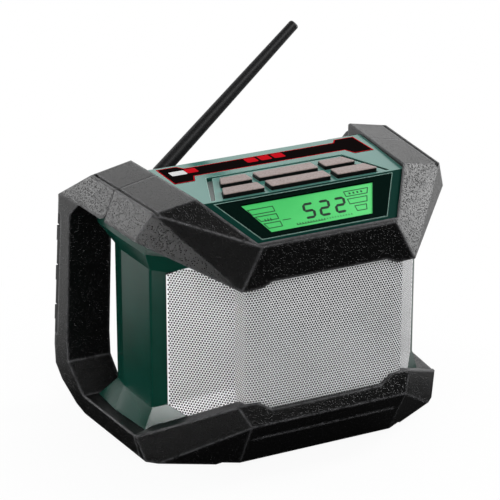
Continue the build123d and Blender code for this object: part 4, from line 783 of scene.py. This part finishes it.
# Rows of equal marks: as the rows of bars, and their taper
RED_ROWS = (
    (3, -10.7, 11.9, 13.2, 9.8, 9.4, 1.0),
    (1, -62.9, 0.0, 12.6, 9.6, 9.0, 0.8),
)
WHITE_ROWS = (
    (1, -74.6, 0.0, 11.6, 13.0, 8.6, 0.8),
)


def strip_place(co):
    """Moves a point of a flat drawing to the panel's top, or just above it."""
    return Vector((co.x, co.y, PANEL_TOP + STRIP_LIFT * (abs(co.z) > 0)))


def strip_marks():
    """The red line, the red marks and the white one."""
    bm = bmesh.new()
    for hand in (1, -1):
        for x, y in STRIP_CORNERS[::hand]:
            bm.verts.new((hand * x * MM, y * MM, 0))
    whole = [bm.faces.new(bm.verts)]
    outer = bmesh.ops.inset_region(bm, faces=whole, thickness=STRIP_MARGIN, use_boundary=True,
                                   use_even_offset=True)
    bmesh.ops.inset_region(bm, faces=whole, thickness=STRIP_LINE, use_even_offset=True)
    bmesh.ops.delete(bm, geom=outer["faces"] + whole, context="FACES")
    printed_plate("strip_line", bm, RED, strip_place, STRIP_LIFT)

    for name, rows, material in (("strip_red_marks", RED_ROWS, RED),
                                 ("strip_white_mark", WHITE_ROWS, WHITE)):
        bm = bmesh.new()
        bars(bm, rows)
        printed_plate(name, bm, material, strip_place, STRIP_LIFT)


display_graphics()
strip_marks()


# ---------------------------------------------------------------- floor, light and camera
FLOOR_HALF = 6.0
SHADOW_FULL, SHADOW_GONE = 0.14, 0.36   # the shadow on the floor fades between these distances
SHADOWLESS = 0.93           # share of plain white in the floor where the shadow is full
FLOOR_MIRRORED = 0.75       # how bright reflections show the floor on its bright side
SWEEP_DIM, SWEEP_RISE = 0.03, 0.95      # how bright reflections show the sweep
SWEEP_TOP = (0.50, 0.80)    # the sweep ends between these heights
FILL = 0.78                 # plain light from all round

AIM = Vector((0, 0, 0.12))
LAMPS = (                   # name, direction from the radio, size, radiance and distance
    ("rear_left_box", (-0.64, 0.76, 0.24), 0.44, 7.2, 1.3),
    ("rear_right_box", (0.36, 0.82, 0.40), 0.80, 0.8, 1.3),
    ("right_box", (0.99, -0.02, 0.02), 0.45, 9.0, 1.3),
    ("upper_right_box", (0.76, 0.0, 0.65), 0.40, 15.0, 1.3),
    ("low_left_box", (-0.62, -0.195, -0.10), 0.11, 38.0, 0.656),
    ("front_box", (-0.15, -0.75, 0.64), 0.60, 3.6, 1.3),
)

SENSOR, FOCAL_LENGTH = 36.0, 173.75     # in millimetres, as cameras count
CAMERA_TARGET = Vector((0, 35.86, 128.45)) * MM
CAMERA_AZIMUTH, CAMERA_ELEVATION = radians(-26.872), radians(21.985)
CAMERA_DISTANCE = 1943.5 * MM


def bright_side(nodes, x, y, low, high):
    """1 behind and to the right, 0 in front and to the left."""
    return nodes.step(y + x * 0.45, low, high)


def floor_finish():
    """Pale floor that keeps the shadow near the radio and turns white further out.

    Reflections show it dark, and white only on its bright side.
    """
    f = Finish("floor")
    x, y, _ = f.xyz
    cloud = f.noise(3.0, 2.0)
    color = f.mix(cloud, (0.80, 0.80, 0.80), (0.84, 0.84, 0.84))
    real = f.node("ShaderNodeBsdfPrincipled", {}, {"Base Color": color, "Roughness": 0.8})
    dark = f.node("ShaderNodeBsdfDiffuse", {}, {"Color": (0.03, 0.03, 0.03, 1)})
    white = f.node("ShaderNodeEmission", {}, {"Color": (1, 1, 1, 1), "Strength": 1.0})
    seen = f.ray("Is Camera Ray") + f.ray("Is Transmission Ray")
    glossy = f.ray("Is Glossy Ray")
    away = (x * x + y * y).root()
    shadowless = SHADOWLESS + (1 - SHADOWLESS) * f.step(away, SHADOW_FULL, SHADOW_GONE)
    mirrored = glossy * FLOOR_MIRRORED * bright_side(f, x, y, 0.02, 0.22)
    mask = (seen * shadowless + mirrored).clamped()
    f.shown(f.blend(mask, f.blend(glossy, real, dark), white))
    return f.material


def stage():
    """The floor under the radio."""
    bm = bmesh.new()
    bmesh.ops.create_grid(bm, x_segments=1, y_segments=1, size=FLOOR_HALF)
    mesh = bpy.data.meshes.new("floor")
    bm.to_mesh(mesh)
    bm.free()
    mesh.materials.append(floor_finish())
    floor = bpy.data.objects.new("floor", mesh)
    bpy.context.scene.collection.objects.link(floor)


def sky():
    """White to the camera; in reflections a white sweep behind, else soft plain light."""
    world = bpy.data.worlds.new("studio")
    bpy.context.scene.world = world
    world.use_nodes = True
    w = Nodes(world.node_tree)
    x, y, z = w.split(w.node("ShaderNodeTexCoord", {}, {}, "Generated"))
    glossy = w.ray("Is Glossy Ray")
    sweep = bright_side(w, x, y, -0.15, 0.30) * (1 - w.step(z, *SWEEP_TOP))
    level = glossy * (SWEEP_DIM + SWEEP_RISE * sweep) + (1 - glossy) * FILL
    level = level.most(w.ray("Is Camera Ray").most(w.ray("Is Transmission Ray")))
    studio = w.node("ShaderNodeBackground", {}, {"Strength": level})
    w.shown(studio, "ShaderNodeOutputWorld")


def softbox(name, direction, size, radiance, distance):
    """Square lamp that faces the radio from the given direction."""
    lamp = bpy.data.lights.new(name, "AREA")
    lamp.size = size
    lamp.energy = radiance * pi * size ** 2
    box = bpy.data.objects.new(name, lamp)
    away = Vector(direction).normalized()
    box.location = AIM + away * distance
    box.rotation_euler = away.to_track_quat("Z", "Y").to_euler()
    bpy.context.scene.collection.objects.link(box)


def camera():
    """Long lens from the front left and above."""
    lens = bpy.data.cameras.new("camera")
    lens.sensor_width = SENSOR
    lens.lens = FOCAL_LENGTH
    eye = bpy.data.objects.new("camera", lens)
    level = cos(CAMERA_ELEVATION)
    back = Vector((sin(CAMERA_AZIMUTH) * level, -cos(CAMERA_AZIMUTH) * level, sin(CAMERA_ELEVATION)))
    eye.location = CAMERA_TARGET + back * CAMERA_DISTANCE
    eye.rotation_euler = (-back).to_track_quat("-Z", "Y").to_euler()
    bpy.context.scene.collection.objects.link(eye)
    bpy.context.scene.camera = eye


stage()
sky()
for row in LAMPS:
    softbox(*row)
camera()
bpy.context.scene.view_settings.view_transform = "Standard"
